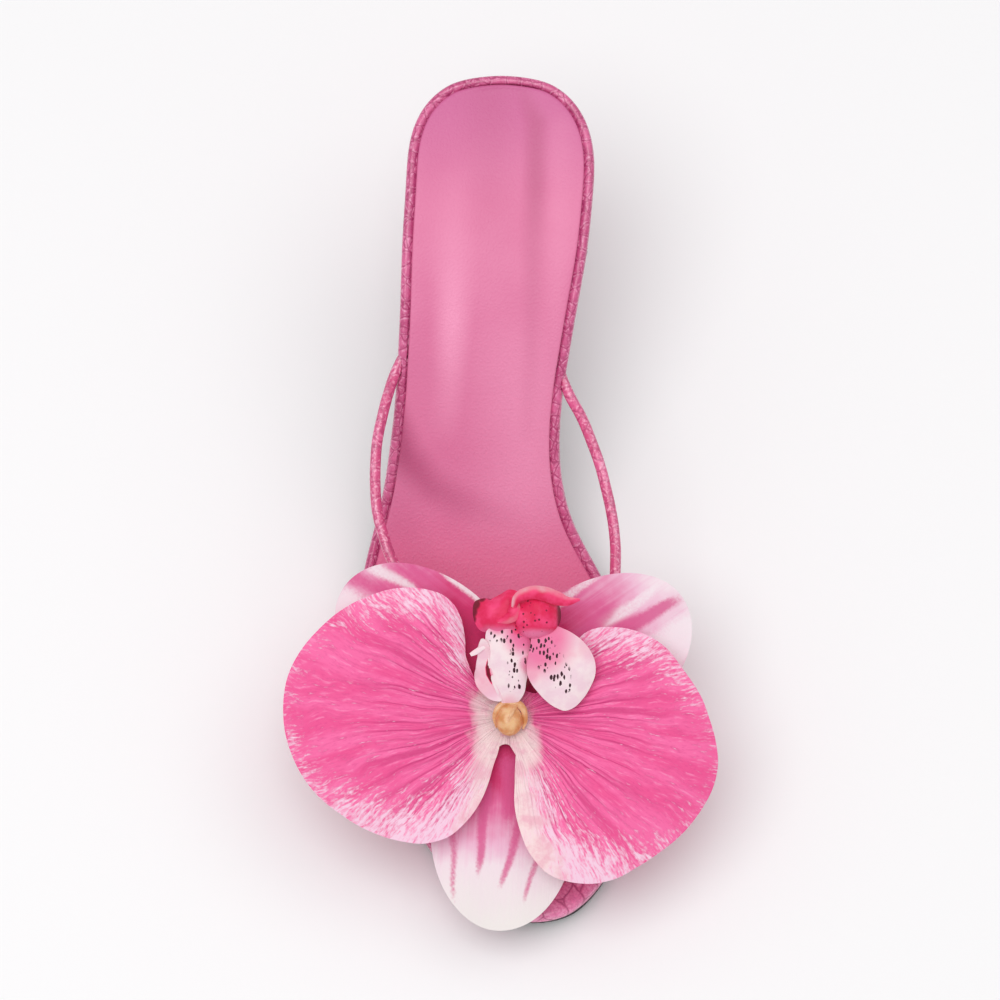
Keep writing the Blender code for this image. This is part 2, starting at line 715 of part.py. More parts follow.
def leaf(shape):
    """A narrow lobe of the lip along its route, with its sides bent down."""
    points = smooth_route([lip_point(*place) for place in shape.route], 8)
    ats, halves = zip(*shape.widths)
    bm = bmesh.new()
    rings = []
    columns = 4
    for i, point in enumerate(points):
        along = i / (len(points) - 1)
        ahead = points[min(i + 1, len(points) - 1)] - points[max(i - 1, 0)]
        side = ahead.cross(Vector((0, 0, 1))).normalized()
        up = side.cross(ahead).normalized()
        half = LIP_LENGTH * float(through_rows(along, ats, halves))
        ring = []
        for level, order in ((0.5, range(columns + 1)), (-0.5, range(columns, -1, -1))):
            for c in order:
                across = 2 * c / columns - 1
                place = point + side * half * across
                place += up * (level * SHEET - shape.fall * half * across * across)
                ring.append(bm.verts.new(place))
        rings.append(ring)
    join_rings(bm, rings)
    bm.faces.new(rings[0])
    bm.faces.new(rings[-1][::-1])
    return finish(bm, shape.name, "lip", 50)


def stalk():
    """The lip's foot: it stands on the hub beside the column and rises into the hood."""
    foot_y = COLUMN_SHIFT + 0.5 * COLUMN_LENGTH + GAP + 1.1 * STALK_RADIUS
    foot = Vector((0.1 * COLUMN_WIDTH, foot_y, GAP))
    above_foot = foot + Vector((0, 0, STALK_RADIUS))
    route = smooth_route([foot, above_foot] + [lip_point(*place) for place in STALK_ROUTE], 9)
    radii = np.interp(np.linspace(0, 1, 9), (0, 0.15, 0.5, 1), (1, 1.1, 2.0, 1.7)) * STALK_RADIUS
    route[1] = foot + Vector((0, 0, 1.5 * STALK_RADIUS))
    return tube("stalk", "lip", route, radii, 2)


def hood():
    """The lip's middle lobe: a hollow dome, open below."""
    half, deep, high = 0.33 * LIP_LENGTH, 0.18 * LIP_LENGTH, 0.55 * LIP_HEIGHT
    place = lip_point(0.055, 0.765, 0.45)
    sides, levels = 22, 5
    bm = bmesh.new()
    poles, shells = [], []
    for wall in (0.0, HOOD_WALL):
        poles.append(bm.verts.new(place + Vector((0, 0, high - wall))))
        shell = []
        for level in range(levels, 0, -1):
            rise = 0.5 * math.pi * (level - 1) / levels
            shell.append([
                bm.verts.new(place + Vector((
                    (half - wall) * math.cos(rise) * math.cos(turn),
                    (deep - wall) * math.cos(rise) * math.sin(turn),
                    (high - wall) * math.sin(rise),
                )))
                for turn in np.linspace(0, 2 * math.pi, sides, endpoint=False)
            ])
        shells.append(shell)
    for pole, shell in zip(poles, shells):
        for i in range(sides):
            bm.faces.new((pole, shell[0][i], shell[0][(i + 1) % sides]))
    join_rings(bm, shells[0] + shells[1][::-1])
    return finish(bm, "flower_lip", "lip", 50)


def lip():
    """Hood, side lobes, horns, wing and stalk, moulded as one."""
    whole = hood()
    parts = [leaf(shape) for shape in LIP_LEAVES] + [stalk()]
    for part in parts:
        combine(whole, part, "UNION")
    return whole, parts


def column_bud():
    """The amber bud at the flower's heart."""
    bm = bmesh.new()
    bmesh.ops.create_uvsphere(bm, u_segments=16, v_segments=10, radius=1.0)
    for vertex in bm.verts:
        x, y, z = vertex.co
        narrow = 1 - 0.22 * max(y, 0)
        vertex.co = (
            x * narrow * COLUMN_WIDTH / 2,
            y * COLUMN_LENGTH / 2,
            (max(z, -0.55) + 0.55) * 0.30 * COLUMN_LENGTH + GAP,
        )
    bmesh.ops.translate(bm, verts=bm.verts, vec=(0, COLUMN_SHIFT, 0))
    bmesh.ops.remove_doubles(bm, verts=bm.verts, dist=1e-6)
    return finish(bm, "flower_column", "column", 60)


def build():
    for obj in list(bpy.data.objects):
        bpy.data.objects.remove(obj)
    cupped, even = (6, cup), (2, flat)
    board = slab("wrapped_board", "croc", 0, STATION_COUNT, board_rings, cupped, even)
    sock = slab("sock", "sock", 0, STATION_COUNT, sock_rings, cupped, cupped)
    slab("outsole", "outsole", BREAST + GAP / SOLE_LENGTH, 30, outsole_rings, even, even)
    heel()
    heel_tip()
    _, points, radii, foot, throat = thong()
    cut_for_straps(board, sock, points, radii, foot, throat)

    place = flower_matrix()
    petals_level, sepals_level, _ = flower_stack()
    petals = disc("flower_petals", "petal", HUB_RADIUS, HUB_THICKNESS, petals_level)
    sepals = disc("flower_sepals", "sepal", HUB_RADIUS, HUB_THICKNESS, sepals_level)
    leaves = [
        (petals, petal("petal_left", PETAL_LEFT, PETAL_LEFT_HEADING)),
        (petals, petal("petal_right", PETAL_RIGHT, PETAL_RIGHT_HEADING)),
    ]
    leaves += [(sepals, sepal(f"sepal_{i}", h)) for i, h in enumerate(SEPAL_HEADINGS)]
    for whole, part in leaves:
        combine(whole, part, "UNION")
    whole_lip, lip_parts = lip()
    pieces = [petals, sepals, whole_lip, column_bud(), *lip_parts]
    for obj in pieces + [part for _, part in leaves]:
        obj.matrix_world = place


build()
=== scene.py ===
import math

import bpy
import numpy as np
from mathutils import Euler, Matrix, Vector


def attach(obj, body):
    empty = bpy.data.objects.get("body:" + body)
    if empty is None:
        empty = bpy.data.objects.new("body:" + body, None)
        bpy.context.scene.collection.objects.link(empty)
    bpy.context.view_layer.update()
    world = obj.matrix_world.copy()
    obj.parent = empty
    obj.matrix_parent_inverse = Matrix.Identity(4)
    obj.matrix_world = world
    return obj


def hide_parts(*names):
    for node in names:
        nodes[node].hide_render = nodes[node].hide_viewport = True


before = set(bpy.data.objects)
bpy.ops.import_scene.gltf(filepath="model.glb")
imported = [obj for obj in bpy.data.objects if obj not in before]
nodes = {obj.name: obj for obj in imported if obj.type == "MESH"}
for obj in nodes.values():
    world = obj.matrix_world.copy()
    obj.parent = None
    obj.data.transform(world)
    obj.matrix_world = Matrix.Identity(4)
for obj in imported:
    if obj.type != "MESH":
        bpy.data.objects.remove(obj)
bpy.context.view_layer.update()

mm = 0.001


# Small helpers for modelling

def deselectAll():
    if bpy.context.object and bpy.context.object.mode != "OBJECT":
        bpy.ops.object.mode_set(mode="OBJECT")
    bpy.ops.object.select_all(action="DESELECT")


def makeActive(piece):
    deselectAll()
    piece.select_set(True)
    bpy.context.view_layer.objects.active = piece


def applyModifier(piece, kind, **settings):
    makeActive(piece)
    modifier = piece.modifiers.new(kind.lower(), kind)
    for key, value in settings.items():
        setattr(modifier, key, value)
    bpy.ops.object.modifier_apply(modifier=modifier.name)


def subdivide(piece, levels):
    applyModifier(piece, "SUBSURF", levels=levels, render_levels=levels)


def copyNode(node, name):
    piece = nodes[node].copy()
    piece.data = nodes[node].data.copy()
    piece.name = name
    for key in list(piece.keys()):
        del piece[key]
    bpy.context.scene.collection.objects.link(piece)
    piece.parent = None
    makeActive(piece)
    bpy.ops.object.mode_set(mode="EDIT")
    bpy.ops.mesh.select_all(action="SELECT")
    bpy.ops.mesh.remove_doubles(threshold=0.00001)
    bpy.ops.mesh.tris_convert_to_quads(face_threshold=0.8, shape_threshold=1.2)
    bpy.ops.object.mode_set(mode="OBJECT")
    bpy.ops.mesh.customdata_custom_splitnormals_clear()
    return piece


def keepCorners(piece, angle):
    # creased corners stay sharp when the piece is subdivided
    makeActive(piece)
    bpy.ops.object.mode_set(mode="EDIT")
    bpy.ops.mesh.select_mode(type="EDGE")
    bpy.ops.mesh.select_all(action="DESELECT")
    bpy.ops.mesh.edges_select_sharp(sharpness=math.radians(angle))
    bpy.ops.transform.edge_crease(value=1)
    bpy.ops.mesh.select_mode(type="VERT")
    bpy.ops.object.mode_set(mode="OBJECT")


def finishPiece(piece, node, finish, sharpAngle=50):
    makeActive(piece)
    bpy.ops.object.shade_smooth_by_angle(angle=math.radians(sharpAngle))
    piece.data.materials.clear()
    piece.data.materials.append(finish)
    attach(piece, "root")
    if node:
        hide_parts(node)


def places(piece):
    points = np.zeros(len(piece.data.vertices) * 3)
    piece.data.vertices.foreach_get("co", points)
    return points.reshape(-1, 3)


def movePlaces(piece, points):
    piece.data.vertices.foreach_set("co", np.asarray(points, float).ravel())
    piece.data.update()


def faceUp(piece):
    # turns the faces over if most of them look down
    makeActive(piece)
    if sum(face.normal.z * face.area for face in piece.data.polygons) < 0:
        bpy.ops.object.mode_set(mode="EDIT")
        bpy.ops.mesh.select_all(action="SELECT")
        bpy.ops.mesh.flip_normals()
        bpy.ops.object.mode_set(mode="OBJECT")


def normalsOf(piece):
    found = np.zeros(len(piece.data.vertices) * 3)
    piece.data.vertices.foreach_get("normal", found)
    return found.reshape(-1, 3)


def mark(piece, name, values):
    attribute = piece.data.attributes.new(name, "FLOAT", "POINT")
    attribute.data.foreach_set("value", np.asarray(values, np.float32))


def soft(values, low, high):
    t = np.clip((np.asarray(values, float) - low) / (high - low), 0, 1)
    return t * t * (3 - 2 * t)


# Small helpers for finishes

def tone(red, green, blue):
    levels = [c / 255 for c in (red, green, blue)]
    return [c / 12.92 if c <= 0.04045 else ((c + 0.055) / 1.055) ** 2.4 for c in levels] + [1]


class Finish:
    def __init__(self, name, **settings):
        self.material = bpy.data.materials.new(name)
        self.material.use_nodes = True
        self.tree = self.material.node_tree
        self.shader = self.tree.nodes["Principled BSDF"]
        for key, value in settings.items():
            self.shader.inputs[key.replace("_", " ")].default_value = value
        self.object = self.add("TexCoord").outputs["Object"]

    def add(self, kind, sockets=None, **settings):
        made = self.tree.nodes.new("ShaderNode" + kind)
        for key, value in settings.items():
            setattr(made, key, value)
        for key, value in (sockets or {}).items():
            self.set(made.inputs[key], value)
        return made

    def set(self, socket, value):
        if isinstance(value, bpy.types.NodeSocket):
            self.tree.links.new(value, socket)
        else:
            socket.default_value = value

    def use(self, name, value):
        self.set(self.shader.inputs[name], value)

    def attribute(self, name):
        return self.add("Attribute", attribute_name=name).outputs["Fac"]

    def scaled(self, vector, size):
        made = self.add("Mapping", {"Vector": vector})
        made.inputs["Scale"].default_value = size if hasattr(size, "__len__") else (size,) * 3
        return made.outputs["Vector"]

    def noise(self, vector, scale, detail=3, roughness=0.5):
        return self.add("TexNoise", {
            "Vector": vector, "Scale": scale, "Detail": detail, "Roughness": roughness,
        }).outputs["Fac"]

    def cells(self, vector, scale, feature="DISTANCE_TO_EDGE", randomness=1.0):
        made = self.add("TexVoronoi", {"Vector": vector, "Scale": scale, "Randomness": randomness},
                        feature=feature)
        return made.outputs["Distance"]

    def maths(self, operation, first, second=0.0, third=0.0):
        made = self.add("Math", operation=operation)
        for socket, value in zip(made.inputs, (first, second, third)):
            self.set(socket, value)
        return made.outputs[0]

    def soft(self, value, low, high, start=0.0, end=1.0):
        return self.add("MapRange", {
            "Value": value, "From Min": low, "From Max": high, "To Min": start, "To Max": end,
        }, interpolation_type="SMOOTHSTEP").outputs["Result"]

    def mix(self, share, first, second):
        made = self.add("Mix", data_type="RGBA")
        self.set(made.inputs[0], share)
        self.set(made.inputs[6], first)
        self.set(made.inputs[7], second)
        return made.outputs[2]

    def ramp(self, value, stops):
        made = self.add("ValToRGB", {"Fac": value})
        elements = made.color_ramp.elements
        for number, (place, colour) in enumerate(stops):
            element = elements[number] if number < 2 else elements.new(place)
            element.position = place
            element.color = colour
        return made.outputs["Color"]

    def bump(self, height, distance, strength=1.0):
        made = self.add("Bump", {"Height": height, "Distance": distance, "Strength": strength})
        return made.outputs["Normal"]

    def away(self, value):
        # how far a noise value stands from its middle
        return self.maths("SUBTRACT", value, 0.5)

    def times(self, first, second):
        return self.maths("MULTIPLY", first, second)

    def plus(self, first, second):
        return self.maths("ADD", first, second)

    def timesPlus(self, first, second, third):
        return self.maths("MULTIPLY_ADD", first, second, third)


print("frame loaded")

# Croc-embossed leather: glossy plates between dark grooves, with painted highlights on the plates' shoulders.
# The toe's larger plates are painted lighter, as painted light where the flower's shadow falls
crocLook = {
    "plate": tone(204, 78, 132), "plateLight": tone(228, 106, 158), "groove": tone(158, 40, 94),
    # the lightest tone is a painted highlight, and the toe plates' tone is painted light
    "wearAndHighlight": tone(246, 178, 210), "toePlatePaintedLight": tone(250, 136, 186),
    "plateSize": 3.4, "toePlateSize": 6.2, "grooveDepth": 0.28 * mm,
}


def crocLeather(name, look):
    finish = Finish(name, Coat_Weight=0.6, Coat_Roughness=0.14)
    place = finish.scaled(finish.object, 1000)
    wander = finish.add("TexNoise", {"Vector": place, "Scale": 0.22, "Detail": 2}).outputs["Color"]
    wander = finish.add("VectorMath", {0: wander, 1: (1.9, 1.9, 1.9)}, operation="MULTIPLY")
    warped = finish.add("VectorMath", {0: place, 1: wander.outputs[0]}, operation="ADD").outputs[0]
    forward = finish.add("SeparateXYZ", {"Vector": place}).outputs["Y"]
    toe = finish.soft(forward, -188, -196)
    small = finish.cells(warped, 1 / look["plateSize"], randomness=0.82)
    large = finish.cells(warped, 1 / look["toePlateSize"], randomness=0.9)
    edge = finish.timesPlus(toe, finish.maths("SUBTRACT", large, small), small)
    groove = finish.soft(edge, 0.0, 0.07, 1, 0)
    pillow = finish.soft(edge, 0.02, 0.34)
    shoulder = finish.times(finish.soft(edge, 0.05, 0.09), finish.soft(edge, 0.20, 0.11))
    wrinkle = finish.noise(place, 1.1, 4, 0.6)
    # painted highlight on the plates' shoulders, broken up by the wrinkle noise
    paintedShoulderHighlight = finish.times(shoulder, finish.soft(wrinkle, 0.42, 0.68))
    shade = finish.noise(place, 0.09, 2)
    colour = finish.mix(finish.soft(shade, 0.35, 0.7), look["plate"], look["plateLight"])
    # painted light: the toe's plates are painted lighter where the flower's shadow falls
    colour = finish.mix(finish.times(toe, 0.95), colour, look["toePlatePaintedLight"])
    colour = finish.mix(finish.soft(wrinkle, 0.62, 0.42, 0, 0.22), colour, look["groove"])
    colour = finish.mix(finish.times(groove, 0.7), colour, look["groove"])
    colour = finish.mix(finish.times(paintedShoulderHighlight, 0.6), colour, look["wearAndHighlight"])
    # painted highlight along the lit side of each strap, broken up by the wrinkle noise
    paintedShine = finish.times(finish.attribute("paintedShine"), finish.soft(wrinkle, 0.42, 0.66, 0.1, 0.6))
    colour = finish.mix(paintedShine, colour, look["wearAndHighlight"])
    finish.use("Base Color", colour)
    finish.use("Roughness", finish.soft(wrinkle, 0.3, 0.7, 0.24, 0.40))
    relief = finish.timesPlus(pillow, 0.8, finish.times(wrinkle, 0.16))
    finish.use("Normal", finish.bump(relief, look["grooveDepth"]))
    return finish.material


crocFinish = crocLeather("crocLeather", crocLook)

# Wrapped board: its rounded rim shows all round the sock
board = copyNode("wrapped_board", "wrappedBoard")
subdivide(board, 2)
finishPiece(board, "wrapped_board", crocFinish)

heel = copyNode("heel", "coveredHeel")
keepCorners(heel, 45)
subdivide(heel, 2)
finishPiece(heel, "heel", crocFinish)
print("board and heel made")

# Sock: satin leather with a fine pebble grain. Each fold is a line of (x, y, half width, strength) in mm
# The folds raise or sink the surface by their heights. The rise, side and arch folds also carry a painted
# highlight, and the trough, middle and crease folds a painted shade
sockLook = {
    # Tones: dark is painted shade, light is both a random lighter tone and the painted highlight tone, and
    # the forefoot and heel-end tones are painted shade
    "mid": tone(222, 113, 158), "light": tone(250, 158, 196), "dark": tone(184, 74, 120),
    "forefootShade": tone(220, 90, 138), "back": tone(202, 92, 150), "pebble": 0.62,
    "rise": ((-12.9, -14, 8, 0.1), (-13.3, -34, 8, 0.45), (-13.6, -50, 7.5, 1.0), (-14.0, -60, 7, 0.8),
             (-15.0, -74, 7, 0.2)),
    "side": ((16.7, 2, 6, 0.25), (16.7, -32, 5.5, 0.35), (15.6, -52, 5, 0.45), (12.6, -70, 5, 0.35),
             (14.0, -84, 5, 0.3)),
    "trough": ((6.0, 12, 4, 0.35), (9.8, 4, 5, 0.8), (9.8, -14, 5, 0.9), (9.2, -30, 5, 0.5),
               (8.6, -56, 4, 0.28), (7.4, -76, 4, 0.1)),
    "middle": ((-3.5, 14, 13, 0.45), (-3, -8, 11, 0.30), (-2, -36, 8, 0.08)),
    "crease": ((-30.5, -74, 7, 1.0), (-27.0, -82, 7.5, 1.0), (-20.0, -89, 7, 0.7), (-11.0, -93, 6.5, 0.38),
               (2.0, -97, 6, 0.12), (10.0, -100, 6, 0.0)),
    # the arch fold only paints a highlight; it leaves the surface as it is
    "arch": ((6, -66, 24, 0.5), (8, -86, 24, 0.6), (12, -100, 20, 0.1)),
    "heights": {"rise": 0.30, "side": 0.12, "trough": -0.35, "middle": -0.12, "crease": -0.45, "arch": 0},
}


def alongLine(x, y, line):
    found = np.zeros(len(x))
    for (ax, ay, aw, av), (bx, by, bw, bv) in zip(line, line[1:]):
        dx, dy = bx - ax, by - ay
        t = np.clip(((x - ax) * dx + (y - ay) * dy) / (dx * dx + dy * dy), 0, 1)
        gap = np.hypot(x - ax - t * dx, y - ay - t * dy)
        found = np.maximum(found, (av + (bv - av) * t) * soft(gap, aw + (bw - aw) * t, 0))
    return found


def satinLeather(look):
    finish = Finish("satinLeather", Coat_Weight=0.10, Coat_Roughness=0.35)
    place = finish.scaled(finish.object, 1000)
    paintedHighlight, shade, forefootShade, back = (finish.attribute(n) for n in ("paintedHighlight", "shade", "forefootShade", "back"))
    pebble = finish.cells(place, 1 / look["pebble"], "SMOOTH_F1")
    fine = finish.noise(place, 2.6, 3, 0.6)
    broad = finish.noise(place, 0.035, 2)
    colour = finish.mix(finish.soft(broad, 0.3, 0.7, 0, 0.18), look["mid"], look["light"])
    # painted shade: darker tones on the forefoot and at the heel end
    colour = finish.mix(forefootShade, colour, look["forefootShade"])
    colour = finish.mix(back, colour, look["back"])
    # painted highlight: a grainy lighter tone along the rise, side and arch folds
    paintedGlint = finish.timesPlus(finish.away(fine), finish.times(paintedHighlight, 1.2), paintedHighlight)
    colour = finish.mix(finish.times(paintedGlint, 0.8), colour, look["light"])
    # painted shade along the trough, middle and crease folds
    colour = finish.mix(finish.times(shade, 0.9), colour, look["dark"])
    finish.use("Base Color", colour)
    finish.use("Roughness", finish.soft(fine, 0.3, 0.7, 0.40, 0.52))
    relief = finish.timesPlus(fine, 0.5, finish.soft(pebble, 0.1, 0.6, 1, 0))
    finish.use("Normal", finish.bump(relief, 0.07 * mm, 0.7))
    return finish.material


sock = copyNode("sock", "sock.cover")
subdivide(sock, 3)
points = places(sock)
x, y = points[:, 0] / mm, points[:, 1] / mm
folds = {name: alongLine(x, y, sockLook[name]) for name in sockLook["heights"]}
upper = soft(normalsOf(sock)[:, 2], 0.3, 0.7)
for name, height in sockLook["heights"].items():
    points[:, 2] += upper * folds[name] * height * mm
movePlaces(sock, points)
# painted highlight along the rise, side and arch folds
mark(sock, "paintedHighlight", np.maximum.reduce([folds["rise"], 0.6 * folds["side"], folds["arch"]]))
# painted shade along the trough, crease and middle folds
mark(sock, "shade", np.maximum.reduce([folds["trough"] * 0.7, folds["crease"], folds["middle"] * 0.6]))
# painted shade tones towards the forefoot and the heel end
mark(sock, "forefootShade", 0.9 * soft(y, -90, -114))
mark(sock, "back", 0.75 * soft(y, -24, 14))
finishPiece(sock, "sock", satinLeather(sockLook))
print("sock made")

# Outsole and heel tip: dark matt rubber. The outsole is drawn in under the forefoot, less at the inner side
rubberLook = {
    "body": tone(34, 22, 30), "wearAndHighlight": tone(70, 56, 64),
    "drawnIn": {"outsole": 0.9 * mm, "heel_tip": 0}, "innerShare": 0.4,
}


def darkRubber(look):
    finish = Finish("darkRubber")
    place = finish.scaled(finish.object, 1000)
    grain = finish.noise(place, 1.4, 5, 0.65)
    finish.use("Base Color", finish.mix(finish.soft(grain, 0.45, 0.75, 0, 0.6), look["body"], look["wearAndHighlight"]))
    finish.use("Roughness", finish.soft(grain, 0.3, 0.7, 0.45, 0.7))
    finish.use("Normal", finish.bump(grain, 0.08 * mm))
    return finish.material


rubberFinish = darkRubber(rubberLook)
for node, name in (("outsole", "outsole.rubber"), ("heel_tip", "heelTopPiece")):
    piece = copyNode(node, name)
    points, flat = places(piece), normalsOf(piece)
    flat[:, 2] = 0
    inner = (1 - rubberLook["innerShare"]) * soft(points[:, 0], 0, 0.02)
    share = soft(points[:, 1], -0.12, -0.19) * (1 - inner)
    movePlaces(piece, points - rubberLook["drawnIn"][node] * flat * share[:, None])
    keepCorners(piece, 30)
    subdivide(piece, 2)
    finishPiece(piece, node, rubberFinish, 30)
print("outsole and heel tip made")

# Rolled straps and toe post: routes in mm, and the way that the painted highlight on each strap faces
strapLook = {
    "radius": 1.55 * mm, "tuck": 1.09 * mm, "post": 2.0 * mm,
    "paintedShine": {"outer": (-0.35, -0.1, 0.93), "inner": (0.35, -0.1, 0.93), "toePost": (0, 0, 1)},
    "finish": {
        **crocLook, "grooveDepth": 0.10 * mm, "plateSize": 4.4, "groove": tone(176, 46, 102),
        "plate": tone(212, 58, 120), "plateLight": tone(232, 88, 146), "wearAndHighlight": tone(252, 196, 220),
    },
    "outer": ((-18.0, -43.9, 54.1), (-23.5, -50.7, 50.3), (-29.7, -61.7, 45.3), (-31.9, -68.6, 45.0),
              (-33.6, -75.6, 44.4), (-34.9, -82.3, 43.3), (-35.4, -89.0, 42.1), (-35.4, -95.4, 40.2),
              (-34.8, -102.1, 38.7), (-33.1, -108.8, 38.0), (-30.1, -116.9, 36.7), (-22.1, -129.4, 33.8),
              (-10.7, -144.9, 31.4), (2.3, -160.8, 30.9)),
    "inner": ((9.7, -48.5, 51.6), (14.7, -56.2, 46.5), (19.2, -67.0, 41.7), (22.9, -74.4, 41.3),
              (25.5, -81.3, 41.1), (27.8, -88.0, 40.4), (29.6, -94.7, 38.8), (31.1, -101.7, 37.6),
              (32.0, -108.6, 36.7), (32.2, -115.5, 36.1), (31.4, -124.1, 34.9), (27.0, -134.9, 32.8),
              (17.6, -147.9, 31.7), (2.3, -160.8, 30.9)),
    "toePost": ((9.9, -167.7, 2.6), (9.9, -167.7, 8.8), (9.9, -167.7, 11.8), (5.7, -163.9, 22.3),
                (2.3, -160.8, 30.9)),
}


def rolledCord(name, route, radii):
    deselectAll()
    bpy.ops.curve.primitive_bezier_curve_add()
    guide = bpy.context.object
    guide.name = name
    curve = guide.data
    spline = curve.splines[0]
    spline.bezier_points.add(len(route) - 2)
    for point, place, radius in zip(spline.bezier_points, route, radii):
        point.co = Vector(place) * mm
        point.handle_left_type = point.handle_right_type = "AUTO"
        point.radius = radius
    spline.resolution_u = 16
    curve.bevel_depth = 1.0
    curve.bevel_resolution = 6
    curve.use_fill_caps = True
    curve.twist_mode = "MINIMUM"
    makeActive(guide)
    bpy.ops.object.convert(target="MESH")
    return bpy.context.object


strapFinish = crocLeather("strapLeather", strapLook["finish"])
straps = []
for name in ("outer", "inner", "toePost"):
    route = strapLook[name]
    full = strapLook["post"] if name == "toePost" else strapLook["radius"]
    radii = [full] * len(route)
    if name != "toePost":
        radii[:2] = [strapLook["tuck"], strapLook["tuck"]]
    strap = rolledCord("strap." + name, route, radii)
    # each strap gets a painted highlight where its surface faces that way
    mark(strap, "paintedShine", soft(normalsOf(strap) @ np.array(strapLook["paintedShine"][name]), 0.92, 0.995))
    straps.append(strap)
for strap in straps[1:]:
    finishPiece(strap, None, strapFinish)
finishPiece(straps[0], "thong_upper", strapFinish)
print("straps made")

# The flower stands in its own frame: x to the inner side, y to the heel, z away from the foot
flower = {
    "hub": (2.3055, -162.152, 36.5), "tilt": 14, "hubRadius": 7.5, "petalLevel": -0.9, "sepalLevel": -3.0,
}
flowerPlace = Matrix.Translation(Vector(flower["hub"]) * mm) @ Euler(
    (math.radians(flower["tilt"]), 0, 0)).to_matrix().to_4x4() @ Matrix.Scale(mm, 4)


def throughRows(at, rows, values):
    rows, values = np.asarray(rows, float), np.asarray(values, float)
    step = np.diff(rows)
    slope = np.diff(values) / step
    tangent = np.zeros(len(rows))
    tangent[0], tangent[-1] = slope[0], slope[-1]
    same = slope[:-1] * slope[1:] > 0
    before, after = 2 * step[1:] + step[:-1], step[1:] + 2 * step[:-1]
    blend = np.where(same, slope[:-1] * slope[1:], 0)
    tangent[1:-1] = blend * (before + after) / np.where(same, before * slope[1:] + after * slope[:-1], 1)
    at = np.clip(np.asarray(at, float), rows[0], rows[-1])
    row = np.clip(np.searchsorted(rows, at, side="right") - 1, 0, len(step) - 1)
    t = (at - rows[row]) / step[row]
    return ((2 * t**3 - 3 * t**2 + 1) * values[row] + (t**3 - 2 * t**2 + t) * step[row] * tangent[row]
            + (3 * t**2 - 2 * t**3) * values[row + 1] + (t**3 - t**2) * step[row] * tangent[row + 1])


def roundTable(turn, rows):
    # a table of degrees and values that closes on itself
    degrees = [row[0] for row in rows]
    values = [row[1] for row in rows]
    degrees = [degrees[-1] - 360] + degrees + [degrees[0] + 360]
    values = [values[-1]] + values + [values[0]]
    return throughRows(turn, degrees, values)


def unitLeaf(name, sides, rings):
    deselectAll()
    bpy.ops.mesh.primitive_circle_add(vertices=sides, radius=1, fill_type="NOTHING")
    leaf = bpy.context.object
    leaf.name = name
    bpy.ops.object.mode_set(mode="EDIT")
    bpy.ops.mesh.select_all(action="SELECT")
    for ring in range(rings, 1, -1):
        bpy.ops.mesh.extrude_edges_move()
        bpy.ops.transform.resize(value=((ring - 1) / ring,) * 3)
    bpy.ops.mesh.extrude_edges_move()
    bpy.ops.mesh.merge(type="CENTER")
    bpy.ops.mesh.select_all(action="SELECT")
    bpy.ops.mesh.normals_make_consistent(inside=False)
    bpy.ops.object.mode_set(mode="OBJECT")
    points = places(leaf)
    q = np.hypot(points[:, 0], points[:, 1])
    turn = np.degrees(np.arctan2(points[:, 1], points[:, 0])) % 360
    return leaf, turn, np.minimum(q, 1)


def standLeaf(leaf, x, y, z, thickness, marks):
    movePlaces(leaf, np.stack([x, y, z], axis=1))
    for name, values in marks.items():
        mark(leaf, name, values)
    faceUp(leaf)
    applyModifier(leaf, "SOLIDIFY", thickness=thickness, offset=0)
    standInFlower(leaf)


def standInFlower(piece):
    makeActive(piece)
    piece.matrix_world = flowerPlace
    bpy.ops.object.transform_apply(location=True, rotation=True, scale=True)


